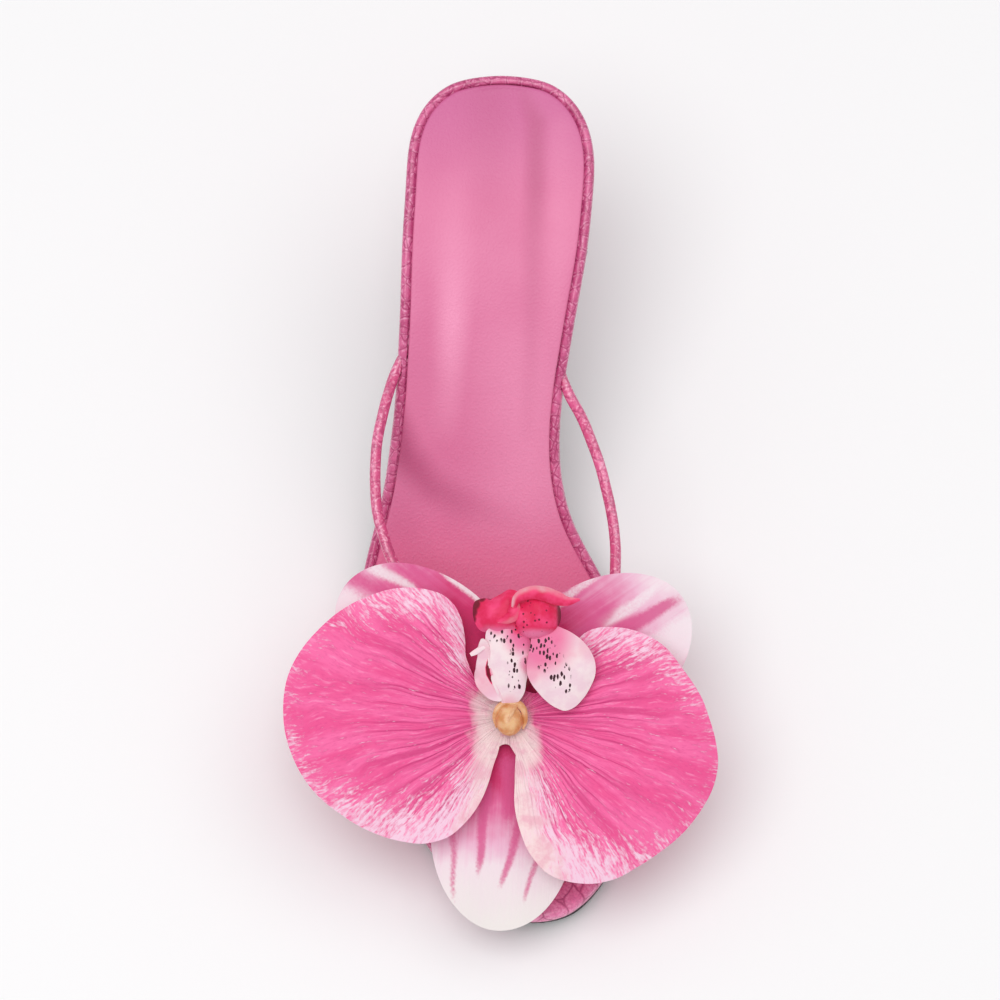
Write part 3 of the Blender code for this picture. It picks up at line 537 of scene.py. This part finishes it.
# Petals: degrees run about each petal's middle, from outwards to the heel side. A ripple is a count,
# a start and a depth. Veins are (across, along, half width, where they start, where they are full)
petalLook = {
    "size": 36, "offset": 0.86 * 36, "thickness": 0.55, "ripples": ((6, 0.6, 0.014), (17, 1.9, 0.006)),
    "veins": ((9, 0.35, 0.055, 52, 26), (21, 0.8, 0.040, 44, 16)), "vein": tone(200, 44, 114),
    "body": tone(240, 84, 148), "bodyLight": tone(249, 108, 168), "paleStreak": tone(252, 156, 200),
    "darkStreak": tone(214, 66, 132), "hair": tone(216, 70, 136), "margin": tone(248, 206, 228),
    "heartPale": tone(248, 220, 220), "heartPink": tone(240, 184, 198),
    "left": {"heading": 180, "reach": (
        (0, 0.875), (24, 0.898), (44, 0.90), (60, 0.918), (76, 0.947), (89, 0.978), (100, 0.994),
        (108, 0.995), (115, 0.97), (122, 0.905), (130, 0.80), (140, 0.69), (153, 0.66), (171, 0.70),
        (184, 0.76), (198, 0.82), (206, 0.828), (216, 0.868), (227, 0.925), (237, 0.973),
        (249, 1.014), (257, 1.008), (267, 0.97), (285, 0.905), (304, 0.866), (334, 0.86)),
        "pale": ((0, 0.24), (45, 0.22), (75, 0.40), (100, 0.50), (125, 0.52), (150, 0.42), (185, 0.5),
                 (220, 0.62), (250, 0.66), (280, 0.60), (310, 0.42), (335, 0.30)),
        "cream": ((0, 0.0), (110, 0.1), (135, 0.35), (165, 0.4), (195, 0.8), (225, 0.85), (240, 0.55),
                  (255, 0.15), (300, 0.0))},
    "right": {"heading": -19.6, "reach": (
        (0, 0.794), (10, 0.795), (26, 0.778), (38, 0.77), (53, 0.79), (65, 0.812), (73, 0.84),
        (83, 0.895), (94, 0.94), (109, 0.969), (117, 0.973), (123, 0.955), (129, 0.90), (142, 0.79),
        (160, 0.762), (180, 0.75), (200, 0.76), (215, 0.797), (227, 0.867), (239, 0.941),
        (250, 1.014), (262, 1.058), (277, 1.025), (289, 0.965), (301, 0.885), (315, 0.828),
        (330, 0.80), (345, 0.788)),
        "pale": ((0, 0.20), (40, 0.26), (80, 0.44), (100, 0.54), (125, 0.46), (150, 0.35), (185, 0.5),
                 (215, 0.66), (250, 0.74), (275, 0.68), (300, 0.44), (330, 0.26)),
        "cream": ((0, 0.0), (120, 0.0), (165, 0.3), (190, 0.8), (215, 1.0), (245, 1.0), (262, 0.8),
                  (275, 0.3), (300, 0.0))},
    "hub": ((0, 12.5), (30, 11), (48, 8.9), (70, 8.0), (90, 7.6), (120, 8), (150, 10.5), (180, 12.5),
            (215, 12.5), (236, 12.2), (245, 11.2), (249, 9.7), (254, 8.4), (259, 7.9), (264, 7.75),
            (269, 7.9), (273, 8.5), (277, 9.8), (281, 11.6), (287, 12.6), (330, 13)),
    "heart": ((0, 6.5), (30, 6), (60, 7), (90, 8), (120, 10), (150, 12), (180, 10.5), (210, 12), (240, 17),
              (270, 18), (300, 16.5), (330, 9)),
}


def petalHeight(x, y, q):
    size, hub = petalLook["size"], flower["hubRadius"]
    reach = np.hypot(x, y)
    past = np.maximum(reach - 0.8 * hub, 0) / size
    arch = 0.15 * size * np.sin(0.5 * math.pi * np.minimum(past, 2))
    away = soft(reach, 0.28 * size, 0.8 * size)
    lift = -0.05 * size * q**3 * away
    turn = np.arctan2(y, x)
    for count, start, deep in petalLook["ripples"]:
        lift = lift + deep * size * q**2 * away * np.sin(count * turn + start)
    return flower["petalLevel"] + arch + lift


def petalMarks(x, y, heading, pale, cream):
    turn = np.arctan2(y, x) - heading
    turn = (turn + math.pi) % (2 * math.pi) - math.pi
    reach = np.hypot(x, y)
    away = soft(reach, 9, 20)
    around = np.degrees(np.arctan2(y, x)) % 360
    outer = roundTable(around, petalLook["heart"])
    heart = soft(reach, outer + 5, outer - 5)
    return {"turn": turn, "reach": reach, "pale": pale * away, "cream": np.maximum(cream * away, heart)}


def petalCloth(look):
    finish = Finish("petalCloth", Specular_IOR_Level=0.3)
    turn, reach, pale, cream = (finish.attribute(n) for n in ("turn", "reach", "pale", "cream"))
    place = finish.scaled(finish.object, 1000)
    wander = finish.noise(place, 0.06, 2)
    bent = finish.timesPlus(wander, 0.13, turn)
    polar = finish.add("CombineXYZ", {"X": bent, "Y": finish.times(reach, 0.02)}).outputs[0]
    broad = finish.noise(finish.scaled(polar, (9, 1.6, 1)), 1.0, 3, 0.55)
    streak = finish.noise(finish.scaled(polar, (42, 8, 1)), 1.0, 3, 0.62)
    hair = finish.noise(finish.scaled(polar, (90, 26, 1)), 1.0, 2, 0.6)
    grain = finish.noise(place, 1.3, 3, 0.7)
    veins = []
    for across, beyond, gap, start, full in look["veins"]:
        field = finish.noise(finish.scaled(polar, (across, beyond, 1)), 1.0, 1, 0.5)
        near = finish.maths("ABSOLUTE", finish.away(field))
        veins.append(finish.times(finish.soft(near, 0.0, gap, 1, 0), finish.soft(reach, start, full)))
    vein = finish.timesPlus(veins[1], 0.55, finish.times(veins[0], 0.8))
    colour = finish.mix(finish.soft(broad, 0.36, 0.64), look["body"], look["bodyLight"])
    colour = finish.mix(finish.soft(streak, 0.46, 0.30, 0, 0.5), colour, look["paleStreak"])
    colour = finish.mix(finish.soft(streak, 0.50, 0.68, 0, 0.55), colour, look["darkStreak"])
    colour = finish.mix(finish.soft(hair, 0.54, 0.74, 0, 0.45), colour, look["hair"])
    colour = finish.mix(finish.times(vein, 0.85), colour, look["vein"])
    feather = finish.timesPlus(streak, 1.25, finish.times(grain, 0.25))
    feather = finish.timesPlus(pale, 0.80, finish.timesPlus(hair, 0.70, feather))
    colour = finish.mix(finish.soft(feather, 1.24, 1.66), colour, look["margin"])
    blot = finish.noise(place, 0.20, 4, 0.62)
    heart = finish.mix(finish.soft(blot, 0.38, 0.66), look["heartPale"], look["heartPink"])
    spread = finish.soft(reach, 8, 22, 0.08, 0.7)
    blotted = finish.timesPlus(finish.away(blot), 1.5, cream)
    creamEdge = finish.timesPlus(finish.away(streak), spread, blotted)
    colour = finish.mix(finish.soft(creamEdge, 0.25, 0.95), colour, heart)
    finish.use("Base Color", colour)
    finish.use("Roughness", finish.soft(hair, 0.3, 0.7, 0.55, 0.72))
    relief = finish.times(finish.maths("SUBTRACT", streak, vein), 0.6)
    finish.use("Normal", finish.bump(relief, 0.22 * mm, 0.8))
    return finish.material


petalFinish = petalCloth(petalLook)
for side in ("left", "right"):
    look = petalLook[side]
    petal, turn, q = unitLeaf("petal." + side, 160, 36)
    heading = math.radians(look["heading"])
    mirrored = -1 if math.cos(heading) < 0 else 1
    reach = petalLook["size"] * roundTable(turn, look["reach"]) * q
    angle = heading + mirrored * np.radians(turn)
    x = petalLook["offset"] * math.cos(heading) + reach * np.cos(angle)
    y = petalLook["offset"] * math.sin(heading) + reach * np.sin(angle)
    width = roundTable(turn, look["pale"])
    pale = width * soft(q, 0.86 - 0.75 * width, 1.02)
    cream = roundTable(turn, look["cream"])
    cream = np.clip(cream, 0, 1) * soft(q, 0.98 - 0.42 * cream, 1.0)
    standLeaf(petal, x, y, petalHeight(x, y, q), petalLook["thickness"],
              petalMarks(x, y, heading, pale, cream))
    finishPiece(petal, "flower_petals" if side == "left" else None, petalFinish)

hub, turn, q = unitLeaf("petal.heart", 180, 14)
reach = roundTable(turn, petalLook["hub"]) * q
x, y = reach * np.cos(np.radians(turn)), reach * np.sin(np.radians(turn))
heading = np.where(x < 0, math.pi, math.radians(petalLook["right"]["heading"]))
level = petalHeight(x, y, np.zeros(len(x))) + 0.16 - 0.3 * q**4
standLeaf(hub, x, y, level, petalLook["thickness"], petalMarks(x, y, heading, 0 * x, 0 * x))
finishPiece(hub, None, petalFinish)
print("petals made")

# Sepals: printed ovals behind the petals. A streak runs from one point to the next in shares of the
# length and of the half width, with its own half width and strength
sepalLook = {
    "length": 59, "halfWidth": 20.3, "thickness": 0.55,
    "light": tone(243, 230, 236), "dark": tone(216, 84, 142), "along": (
        (0.0, tone(178, 18, 80)), (0.30, tone(208, 40, 106)), (0.45, tone(224, 104, 156)),
        (0.60, tone(238, 184, 210)), (0.74, tone(243, 224, 232)), (1.0, tone(240, 232, 230))),
    "toe": {"heading": 267, "spread": 1.05, "streaks": (
        (0.50, -0.70, 0.88, -0.62, 0.05, 0.7), (0.34, -0.26, 0.74, -0.31, 0.075, 0.9),
        (0.45, 0.25, 0.80, 0.01, 0.07, 0.8), (0.62, 0.50, 0.86, 0.33, 0.05, 0.7),
        (0.20, 0.05, 0.50, 0.08, 0.14, 0.8))},
    "outer": {"heading": 140, "spread": 0.56, "streaks": (
        (1.02, -0.10, 0.80, -0.26, 0.12, 0.75), (0.96, -0.40, 0.72, -0.52, 0.09, -0.8),
        (0.90, -0.66, 0.60, -0.76, 0.16, 0.5), (0.70, 0.30, 1.02, 0.24, 0.34, -1.0),
        (0.40, -0.97, 0.98, -0.97, 0.05, -0.8))},
    "inner": {"heading": 35, "spread": 0.72, "streaks": (
        (0.40, 0.30, 0.72, 0.42, 0.16, 0.75), (0.52, 0.16, 0.99, 0.0, 0.12, 0.95),
        (0.62, 0.30, 0.96, 0.30, 0.10, -0.7), (0.62, -0.55, 1.02, -0.42, 0.34, -1.0),
        (0.45, 0.92, 0.75, 0.90, 0.08, -0.6))},
}


def sepalCloth(look):
    finish = Finish("sepalCloth", Roughness=0.6, Specular_IOR_Level=0.3)
    along, across, dark, light = (finish.attribute(n) for n in ("along", "across", "dark", "light"))
    place = finish.scaled(finish.object, 1000)
    flow = finish.add("CombineXYZ", {"X": across, "Y": along}).outputs[0]
    lines = finish.noise(finish.scaled(flow, (16, 1.6, 1)), 1.0, 4, 0.6)
    haze = finish.noise(place, 0.09, 3, 0.6)
    grain = finish.noise(place, 1.2, 3, 0.7)
    lean = finish.timesPlus(finish.away(haze), 0.25, finish.timesPlus(finish.away(lines), 0.16, along))
    colour = finish.ramp(lean, look["along"])
    ragged = finish.times(finish.away(grain), 0.7)
    colour = finish.mix(finish.soft(finish.plus(light, ragged), 0.1, 0.9, 0, 0.9), colour, look["light"])
    colour = finish.mix(finish.soft(finish.plus(dark, ragged), 0.1, 0.9, 0, 0.85), colour, look["dark"])
    finish.use("Base Color", colour)
    finish.use("Normal", finish.bump(finish.timesPlus(grain, 0.3, lines), 0.15 * mm))
    return finish.material


sepalFinish = sepalCloth(sepalLook)
for side in ("toe", "outer", "inner"):
    look = sepalLook[side]
    sepal, turn, q = unitLeaf("sepal." + side, 128, 30)
    heading = math.radians(look["heading"])
    length, half = sepalLook["length"], sepalLook["halfWidth"]
    c, s = np.cos(np.radians(turn)), np.sin(np.radians(turn))
    forward = np.where(c > 0, 0.5 * length, 0.5 * length - 0.2 * flower["hubRadius"])
    along = (0.5 * length + forward * c * q) / length
    across = s * (1 - 0.6 * np.maximum(-c, 0) ** 2) * q
    x = math.cos(heading) * along * length - math.sin(heading) * half * across
    y = math.sin(heading) * along * length + math.cos(heading) * half * across
    streaks = {"dark": np.zeros(len(x)), "light": np.zeros(len(x))}
    for alongA, acrossA, alongB, acrossB, wide, strength in look["streaks"]:
        t = (along - alongA) / (alongB - alongA)
        gap = np.abs(across - (acrossA + (acrossB - acrossA) * np.clip(t, 0, 1)) - 0.012 * np.sin(22 * along))
        thin = wide * (1.15 - 0.6 * np.clip(t, 0, 1))
        ends = soft(t, -0.25, 0.1) * soft(t, 1.15, 0.8)
        kind = "dark" if strength > 0 else "light"
        streaks[kind] = np.maximum(streaks[kind], abs(strength) * ends * soft(gap, thin * 1.7, thin * 0.3))
    z = flower["sepalLevel"] - 0.05 * length * along**2 - 0.05 * half * across**2
    z = z + 0.5 * np.sin(7 * np.radians(turn)) * q**4 * soft(along, 0.3, 0.7)
    standLeaf(sepal, x, y, z, sepalLook["thickness"],
              {"along": along * look["spread"], "across": across, **streaks})
    finishPiece(sepal, "flower_sepals" if side == "toe" else None, sepalFinish)
print("sepals made")

# Lip: lobes as outlines in the flower's frame, with places (x, y, reach, strength) of blush, of crimson
# that darkens to painted shade, and of spots. The wing's painted shadow is a line of (x, y, half width,
# strength), as on the sock
lipLook = {
    "thickness": 0.5, "ribbonThickness": 0.6,
    "pale": tone(244, 214, 225), "paleWarm": tone(249, 232, 234), "blush": tone(238, 104, 158),
    # the darkest crimson tone is painted shade
    "crimson": tone(224, 26, 82), "crimsonLight": tone(244, 68, 122), "paintedShadeCrimson": tone(120, 12, 40),
    "stroke": tone(56, 12, 30), "dot": tone(120, 10, 46), "strokeGap": 0.92, "dotGap": 1.05,
    "lobe.inner": {"middle": (14.0, 12.5), "outline": (
        (7.5, 24.4), (10.5, 24.6), (14.9, 23.2), (19.1, 20.8), (21.8, 18.0), (23.5, 14.4), (23.7, 11.6),
        (22.5, 8.1), (20.1, 4.3), (17.7, 2.0), (15.6, 1.2), (13.2, 1.9), (9.7, 4.3), (7.7, 6.4),
        (6.0, 8.7), (5.1, 10.8), (4.9, 12.6), (5.2, 15.4), (5.8, 18.4), (6.2, 21.5)),
        "level": 9.0, "slope": (-0.05, 0.26), "cup": -1.6, "deep": 0,
        "blushAt": ((6.8, 21.5, 16, 0.95), (5.2, 12, 6, 0.6), (22.5, 19, 7, 0.4)),
        "crimsonAndShadeAt": ((7.5, 24, 5, 0.4),),
        "spotsAt": ((8.5, 19, 4.5, 1), (11, 15, 5, 1), (13.5, 11, 4.5, 1), (15, 8, 3, 1))},
    "lobe.outer": {"middle": (-0.2, 13.5), "outline": (
        (-5.8, 23.2), (-2.3, 24.4), (2.1, 24.2), (5.2, 21.2), (5.6, 16.7), (5.0, 13.2), (4.6, 9.3),
        (3.9, 5.8), (2.5, 3.9), (0.8, 2.7), (-1.3, 2.7), (-2.3, 4.1), (-4.1, 7.6), (-5.3, 11.1),
        (-5.8, 13.9), (-6.0, 16.7), (-6.5, 20.2)),
        "level": 7.7, "slope": (0.0, 0.36), "cup": -1.3, "deep": 0,
        "blushAt": ((4.6, 22.5, 9, 1.0), (5.4, 14, 4, 0.7), (-3, 25, 5, 0.9), (0, 3, 4, 0.4)),
        "crimsonAndShadeAt": ((3, 24.5, 4.5, 0.4),),
        "spotsAt": ((-4, 22, 3, 1), (0, 21.5, 3.6, 1), (2.6, 18.6, 3.4, 1), (2, 14.6, 3.4, 1),
                    (2, 11, 3, 1), (1.4, 7.8, 2.4, 1))},
    "wing": {"middle": (-6.6, 11.0), "outline": (
        (-7.6, 20.5), (-6.0, 19.6), (-5.3, 17.3), (-5.2, 14.4), (-4.8, 11.6), (-3.6, 8.5), (-2.2, 5.6),
        (-2.0, 4.0), (-4.1, 4.0), (-7.2, 5.8), (-9.1, 8.1), (-9.6, 9.9), (-9.3, 12.0), (-8.8, 15.5),
        (-8.4, 19.0)),
        "level": 5.2, "slope": (0.1, 0.42), "cup": 0.6, "deep": 0,
        "blushAt": ((-6.5, 9.0, 8, 0.45), (-7, 17, 4, 0.35)), "crimsonAndShadeAt": (), "spotsAt": (),
        "shadow": ((-5.8, 14.6, 0.4, 1.0), (-5.9, 13.0, 0.9, 1.0), (-5.7, 11.2, 0.9, 1.0),
                   (-4.9, 9.2, 0.5, 1.0))},
    "curl": {"middle": (-3.4, 27.0), "outline": (
        (-9.9, 28.4), (-9.5, 30.6), (-7.5, 31.5), (-4.9, 31.4), (-2.3, 32.6), (0.1, 33.8), (2.6, 33.0),
        (4.4, 29.5), (4.4, 25.5), (2.0, 23.0), (-1.3, 22.3), (-5.6, 22.4), (-8.2, 23.4), (-9.5, 25.7)),
        "level": 12.7, "slope": (0.18, 0.12), "cup": -3.4, "deep": 0.45,
        "blushAt": ((-3, 25, 30, 1),),
        # painted shade in the curl's hollow, at its left end and in two small spots
        "crimsonAndShadeAt": ((-10.2, 26.0, 2.4, 0.95), (-10.2, 28.0, 2.9, 1.0), (-9.4, 30.0, 2.8, 1.0),
                   (-7.6, 31.6, 2.2, 0.95), (-5.4, 31.8, 1.7, 0.85), (-3.2, 27.0, 0.9, 0.62),
                   (-1.8, 26.2, 0.9, 0.66)),
        "spotsAt": ()},
}


def atPlaces(x, y, spots, base=0.0):
    found = np.full(len(x), float(base))
    for px, py, reach, strength in spots:
        found = np.maximum(found, strength * soft(np.hypot(x - px, y - py), reach, 0.35 * reach))
    return found


def lipLobe(name, look):
    leaf, turn, q = unitLeaf("lip." + name, 96, 22)
    middle = look["middle"]
    rows = []
    for px, py in look["outline"]:
        dx, dy = px - middle[0], py - middle[1]
        rows.append((math.degrees(math.atan2(dy, dx)) % 360, math.hypot(dx, dy)))
    reach = roundTable(turn, sorted(rows)) * q
    x = middle[0] + reach * np.cos(np.radians(turn))
    y = middle[1] + reach * np.sin(np.radians(turn))
    z = look["level"] + look["slope"][0] * (x - middle[0]) + look["slope"][1] * (y - middle[1])
    z = z + look["cup"] * q**2.5 + 0.25 * q**3 * np.sin(5 * np.radians(turn) + middle[0])
    # deep gives crimson colour; past 0.55 it also gives the painted shade of the darkest crimson
    deep = atPlaces(x, y, look["crimsonAndShadeAt"], look["deep"])
    if name == "curl":
        deep = deep * soft(y, 21.8, 25.0)
    # painted shadow line along the wing's inner edge
    if "shadow" in look:
        deep = np.maximum(deep, np.minimum(2.2 * alongLine(x, y, look["shadow"]), 1))
    standLeaf(leaf, x, y, z, lipLook["thickness"], {
        "blush": atPlaces(x, y, look["blushAt"]), "spotted": atPlaces(x, y, look["spotsAt"]),
        "deep": deep, "dotted": 0 * q,
    })
    return leaf


def strokes(finish, place):
    # dark strokes along the lobes, in a few of the cells, each of its own size
    lay = finish.add("Mapping", {"Vector": place})
    lay.inputs["Scale"].default_value = (1.0, 0.6, 1)
    lay.inputs["Rotation"].default_value = (0, 0, math.radians(14))
    cells = finish.add("TexVoronoi", {"Vector": lay.outputs[0], "Scale": 1 / lipLook["strokeGap"]},
                       voronoi_dimensions="2D")
    own = finish.add("SeparateColor", {"Color": cells.outputs["Color"]})
    wide = finish.soft(own.outputs["Red"], 0.25, 0.95, 0.0, 0.46)
    ragged = finish.timesPlus(finish.noise(place, 2.4, 3), 0.34, cells.outputs["Distance"])
    return finish.soft(finish.maths("SUBTRACT", ragged, wide), 0.16, 0.10)


def dots(finish, place):
    cells = finish.add("TexVoronoi", {"Vector": place, "Scale": 1 / lipLook["dotGap"]})
    own = finish.add("SeparateColor", {"Color": cells.outputs["Color"]})
    wide = finish.soft(own.outputs["Red"], 0.3, 0.95, 0.0, 0.30)
    return finish.soft(finish.maths("SUBTRACT", cells.outputs["Distance"], wide), 0.03, -0.03)


def lipFoam(look):
    finish = Finish("lipFoam", Roughness=0.5, Specular_IOR_Level=0.3)
    blush, spotted, deep, dotted = (finish.attribute(n) for n in ("blush", "spotted", "deep", "dotted"))
    place = finish.scaled(finish.object, 1000)
    haze = finish.noise(place, 0.25, 3)
    grain = finish.noise(place, 1.6, 3)
    pale = finish.mix(finish.soft(haze, 0.35, 0.65), look["pale"], look["paleWarm"])
    cloudy = finish.times(finish.away(haze), 0.4)
    colour = finish.mix(finish.soft(finish.plus(cloudy, blush), -0.1, 1.2), pale, look["blush"])
    crimson = finish.mix(finish.soft(haze, 0.35, 0.65), look["crimson"], look["crimsonLight"])
    colour = finish.mix(finish.soft(finish.plus(cloudy, deep), 0.05, 0.45), colour, crimson)
    # painted shade: the darkest crimson where deep passes 0.55
    colour = finish.mix(finish.soft(deep, 0.55, 1.0), colour, look["paintedShadeCrimson"])
    stroked = finish.times(strokes(finish, place), finish.soft(spotted, 0.1, 0.5))
    colour = finish.mix(stroked, colour, look["stroke"])
    colour = finish.mix(finish.times(dots(finish, place), dotted), colour, look["dot"])
    finish.use("Base Color", colour)
    finish.use("Normal", finish.bump(finish.timesPlus(grain, 0.3, haze), 0.18 * mm))
    return finish.material


lipFinish = lipFoam(lipLook)
for name in ("lobe.inner", "lobe.outer", "wing", "curl"):
    finishPiece(lipLobe(name, lipLook[name]), None, lipFinish)

# Hood: the upper part of a bowl, open below
hoodLook = {"middle": (7.3, 27.2, 9.4), "radii": (7.0, 6.8, 6.2), "cut": 2.6, "wall": 0.6}


def hood(look):
    deselectAll()
    bpy.ops.mesh.primitive_uv_sphere_add(segments=56, ring_count=32, radius=1)
    piece = bpy.context.object
    piece.name = "lip.hood"
    movePlaces(piece, places(piece) * np.array(look["radii"]) + np.array(look["middle"]))
    bpy.ops.object.mode_set(mode="EDIT")
    bpy.ops.mesh.select_all(action="SELECT")
    low = look["middle"][2] - look["cut"]
    bpy.ops.mesh.bisect(plane_co=(0, 0, low), plane_no=(0, 0, -1), clear_outer=True)
    bpy.ops.object.mode_set(mode="OBJECT")
    points = places(piece)
    x, y = points[:, 0], points[:, 1]
    # crimson over the hood, darkening on its far right side as painted shade
    mark(piece, "deep", (0.5 + 0.5 * soft(x, 12.2, 14.0)) * soft(y, 20.4, 24.2))
    mark(piece, "blush", 1 + 0 * x)
    mark(piece, "spotted", 0 * x)
    mark(piece, "dotted", soft(np.hypot(x - 6.2, y - 26), 6.5, 4))
    points[:, 2] += 0.4 * np.sin(0.7 * x + 0.5 * y)
    movePlaces(piece, points)
    applyModifier(piece, "SOLIDIFY", thickness=look["wall"], offset=-1)
    standInFlower(piece)
    return piece


finishPiece(hood(hoodLook), "flower_lip", lipFinish)

# Ribbons of the lip: centre line with half widths, then how far the sides fall, then the crimson at each
# side, the darker side being painted shade
ribbonLook = {
    "horn": {"line": ((1.2, 28.6, 14.6), (1.9, 30.6, 15.9), (3.8, 32.0, 16.6), (6.8, 32.6, 16.8),
                      (9.9, 32.2, 16.4), (12.9, 31.2, 15.6), (16.0, 30.4, 14.6), (19.3, 30.9, 13.6)),
             "half": (0.5, 1.0, 1.45, 1.65, 1.8, 1.75, 1.1, 0.12), "fall": 0.55, "deep": (0.30, 0.62)},
    "flap": {"line": ((0.6, 31.6, 13.6), (1.4, 29.2, 14.4), (1.2, 27.0, 14.3), (-0.6, 25.6, 13.6),
                      (-3.2, 24.9, 12.6)),
             "half": (0.6, 1.3, 1.6, 1.2, 0.15), "fall": 0.5, "deep": (0.36, 0.60)},
    "tendril": {"line": ((-6.6, 18.9, 8.8), (-7.9, 17.9, 8.7), (-9.2, 17.0, 8.5), (-10.7, 16.2, 8.3)),
                "half": (0.55, 0.60, 0.62, 0.35), "fall": 0.3, "deep": (0, 0)},
    "stalk": {"line": ((1.4, 6.2, 0.6), (3.0, 8.6, 2.6), (4.8, 11.6, 4.9), (5.6, 16.5, 7.2),
                       (4.4, 22.0, 9.0)),
              "half": (1.3, 1.9, 2.4, 2.6, 2.2), "fall": 0.5, "deep": (0.70, 0.95)},
}


def ribbon(name, look, columns=12, rows=64):
    deselectAll()
    bpy.ops.mesh.primitive_grid_add(x_subdivisions=columns, y_subdivisions=rows, size=2)
    piece = bpy.context.object
    piece.name = name
    grid = places(piece)
    across, along = grid[:, 0], (grid[:, 1] + 1) / 2
    steps = np.linspace(0, 1, len(look["line"]))

    def onLine(share):
        return np.stack([throughRows(share, steps, column) for column in zip(*look["line"])], 1)

    way = onLine(np.minimum(along + 0.02, 1)) - onLine(np.maximum(along - 0.02, 0))
    way /= np.linalg.norm(way, axis=1)[:, None]
    side = np.cross(way, np.array([0, 0, 1.0]))
    side /= np.linalg.norm(side, axis=1)[:, None]
    up = np.cross(side, way)
    half = throughRows(along, steps, look["half"])[:, None]
    sideways, fall = across[:, None], look["fall"] * across[:, None] ** 2
    movePlaces(piece, onLine(along) + half * (side * sideways - up * fall))
    low, high = look["deep"]
    # crimson across the ribbon, darker towards one side as painted shade
    mark(piece, "deep", low + (high - low) * soft(across, -0.6, 0.9))
    mark(piece, "blush", 0.25 * soft(across, -1, 1))
    mark(piece, "spotted", 0 * across)
    mark(piece, "dotted", 0 * across)
    faceUp(piece)
    applyModifier(piece, "SOLIDIFY", thickness=lipLook["ribbonThickness"], offset=0)
    standInFlower(piece)
    return piece


for name, look in ribbonLook.items():
    finishPiece(ribbon("lip." + name, look), None, lipFinish, 60)
print("lip made")

# Column: amber bead in a peach collar with a pale ridge
budLook = {
    "body": tone(214, 136, 78), "light": tone(242, 186, 138),
    "collar": {"line": ((-3.5, -3.2, 0.8), (-4.0, -0.6, 1.7), (-3.2, 1.8, 2.4), (-0.6, 3.4, 2.8),
                        (2.2, 3.2, 2.8), (4.1, 1.2, 2.4), (4.4, -1.2, 1.7), (3.8, -3.6, 0.8)),
               "half": (0.1, 0.5, 0.7, 0.85, 0.85, 0.7, 0.5, 0.1), "fall": 0.4, "deep": (0, 0)},
    "ridge": {"line": ((1.7, 2.6, 3.3), (1.1, 1.2, 4.0), (0.4, -0.2, 4.45), (-0.3, -1.8, 4.4)),
              "half": (0.35, 0.42, 0.42, 0.15), "fall": 0.5, "deep": (0, 0)},
}


def amberBud(look):
    finish = Finish("amberBud", Roughness=0.32, Subsurface_Weight=0.15, Coat_Weight=0.25)
    place = finish.scaled(finish.object, 1000)
    haze = finish.noise(place, 0.4, 3)
    finish.use("Base Color", finish.mix(finish.soft(haze, 0.3, 0.7), look["body"], look["light"]))
    finish.use("Normal", finish.bump(finish.noise(place, 1.1, 3), 0.06 * mm))
    return finish.material


budFinish = amberBud(budLook)
bud = copyNode("flower_column", "column.bead")
subdivide(bud, 2)
finishPiece(bud, "flower_column", budFinish)
for name in ("collar", "ridge"):
    finishPiece(ribbon("column." + name, budLook[name], 10, 48), None, budFinish, 60)
print("column made")

# Floor, light and camera
studio = {
    "floor": tone(250, 249, 250), "world": 0.58, "target": (0.002, -0.098, 0.032),
    "key": {"place": (-0.30, -0.30, 1.3), "size": 1.1, "power": 7.2},
    "fill": {"place": (0.45, 0.15, 1.2), "size": 1.1, "power": 2.4},
}
deselectAll()
bpy.ops.mesh.primitive_plane_add(size=6, location=(0, 0, 0))
floor = bpy.context.object
floor.name = "floor"
floorFinish = Finish("floorPaper", Roughness=0.8)
floorFinish.use("Base Color", studio["floor"])
floor.data.materials.append(floorFinish.material)

world = bpy.data.worlds.new("studio")
bpy.context.scene.world = world
world.use_nodes = True
world.node_tree.nodes["Background"].inputs["Color"].default_value = (1, 1, 1, 1)
world.node_tree.nodes["Background"].inputs["Strength"].default_value = studio["world"]

target = Vector(studio["target"])
for name in ("key", "fill"):
    light = studio[name]
    deselectAll()
    bpy.ops.object.light_add(type="AREA", location=light["place"])
    lamp = bpy.context.object
    lamp.name = name
    lamp.data.shape = "DISK"
    lamp.data.size = light["size"]
    lamp.data.energy = light["power"]
    lamp.rotation_euler = (target - Vector(light["place"])).to_track_quat("-Z", "Y").to_euler()

# The picture is 1000 pixels wide: the camera gives a millimetre at the target so many, and slides by pixels
view = {"elevation": 68, "distance": 1.25, "pixels": 3.53, "slide": (8.0, 7.3), "sensor": 36}
elevation = math.radians(view["elevation"])
forward = Vector((0, math.cos(elevation), -math.sin(elevation)))
upward = Vector((0, math.sin(elevation), math.cos(elevation)))
sideways = Vector((1, 0, 0))
deselectAll()
bpy.ops.object.camera_add()
camera = bpy.context.object
camera.data.sensor_width = view["sensor"]
camera.data.lens = view["distance"] * view["pixels"] * view["sensor"]
perPixel = mm / view["pixels"]
cameraPlace = target - forward * view["distance"]
cameraPlace += upward * (view["slide"][1] * perPixel) - sideways * (view["slide"][0] * perPixel)
turned = Matrix((sideways, upward, -forward)).transposed().to_4x4()
turned.translation = cameraPlace
camera.matrix_world = turned
bpy.context.scene.camera = camera
bpy.context.scene.view_settings.view_transform = "Standard"
print("floor, light and camera set")

deselectAll()
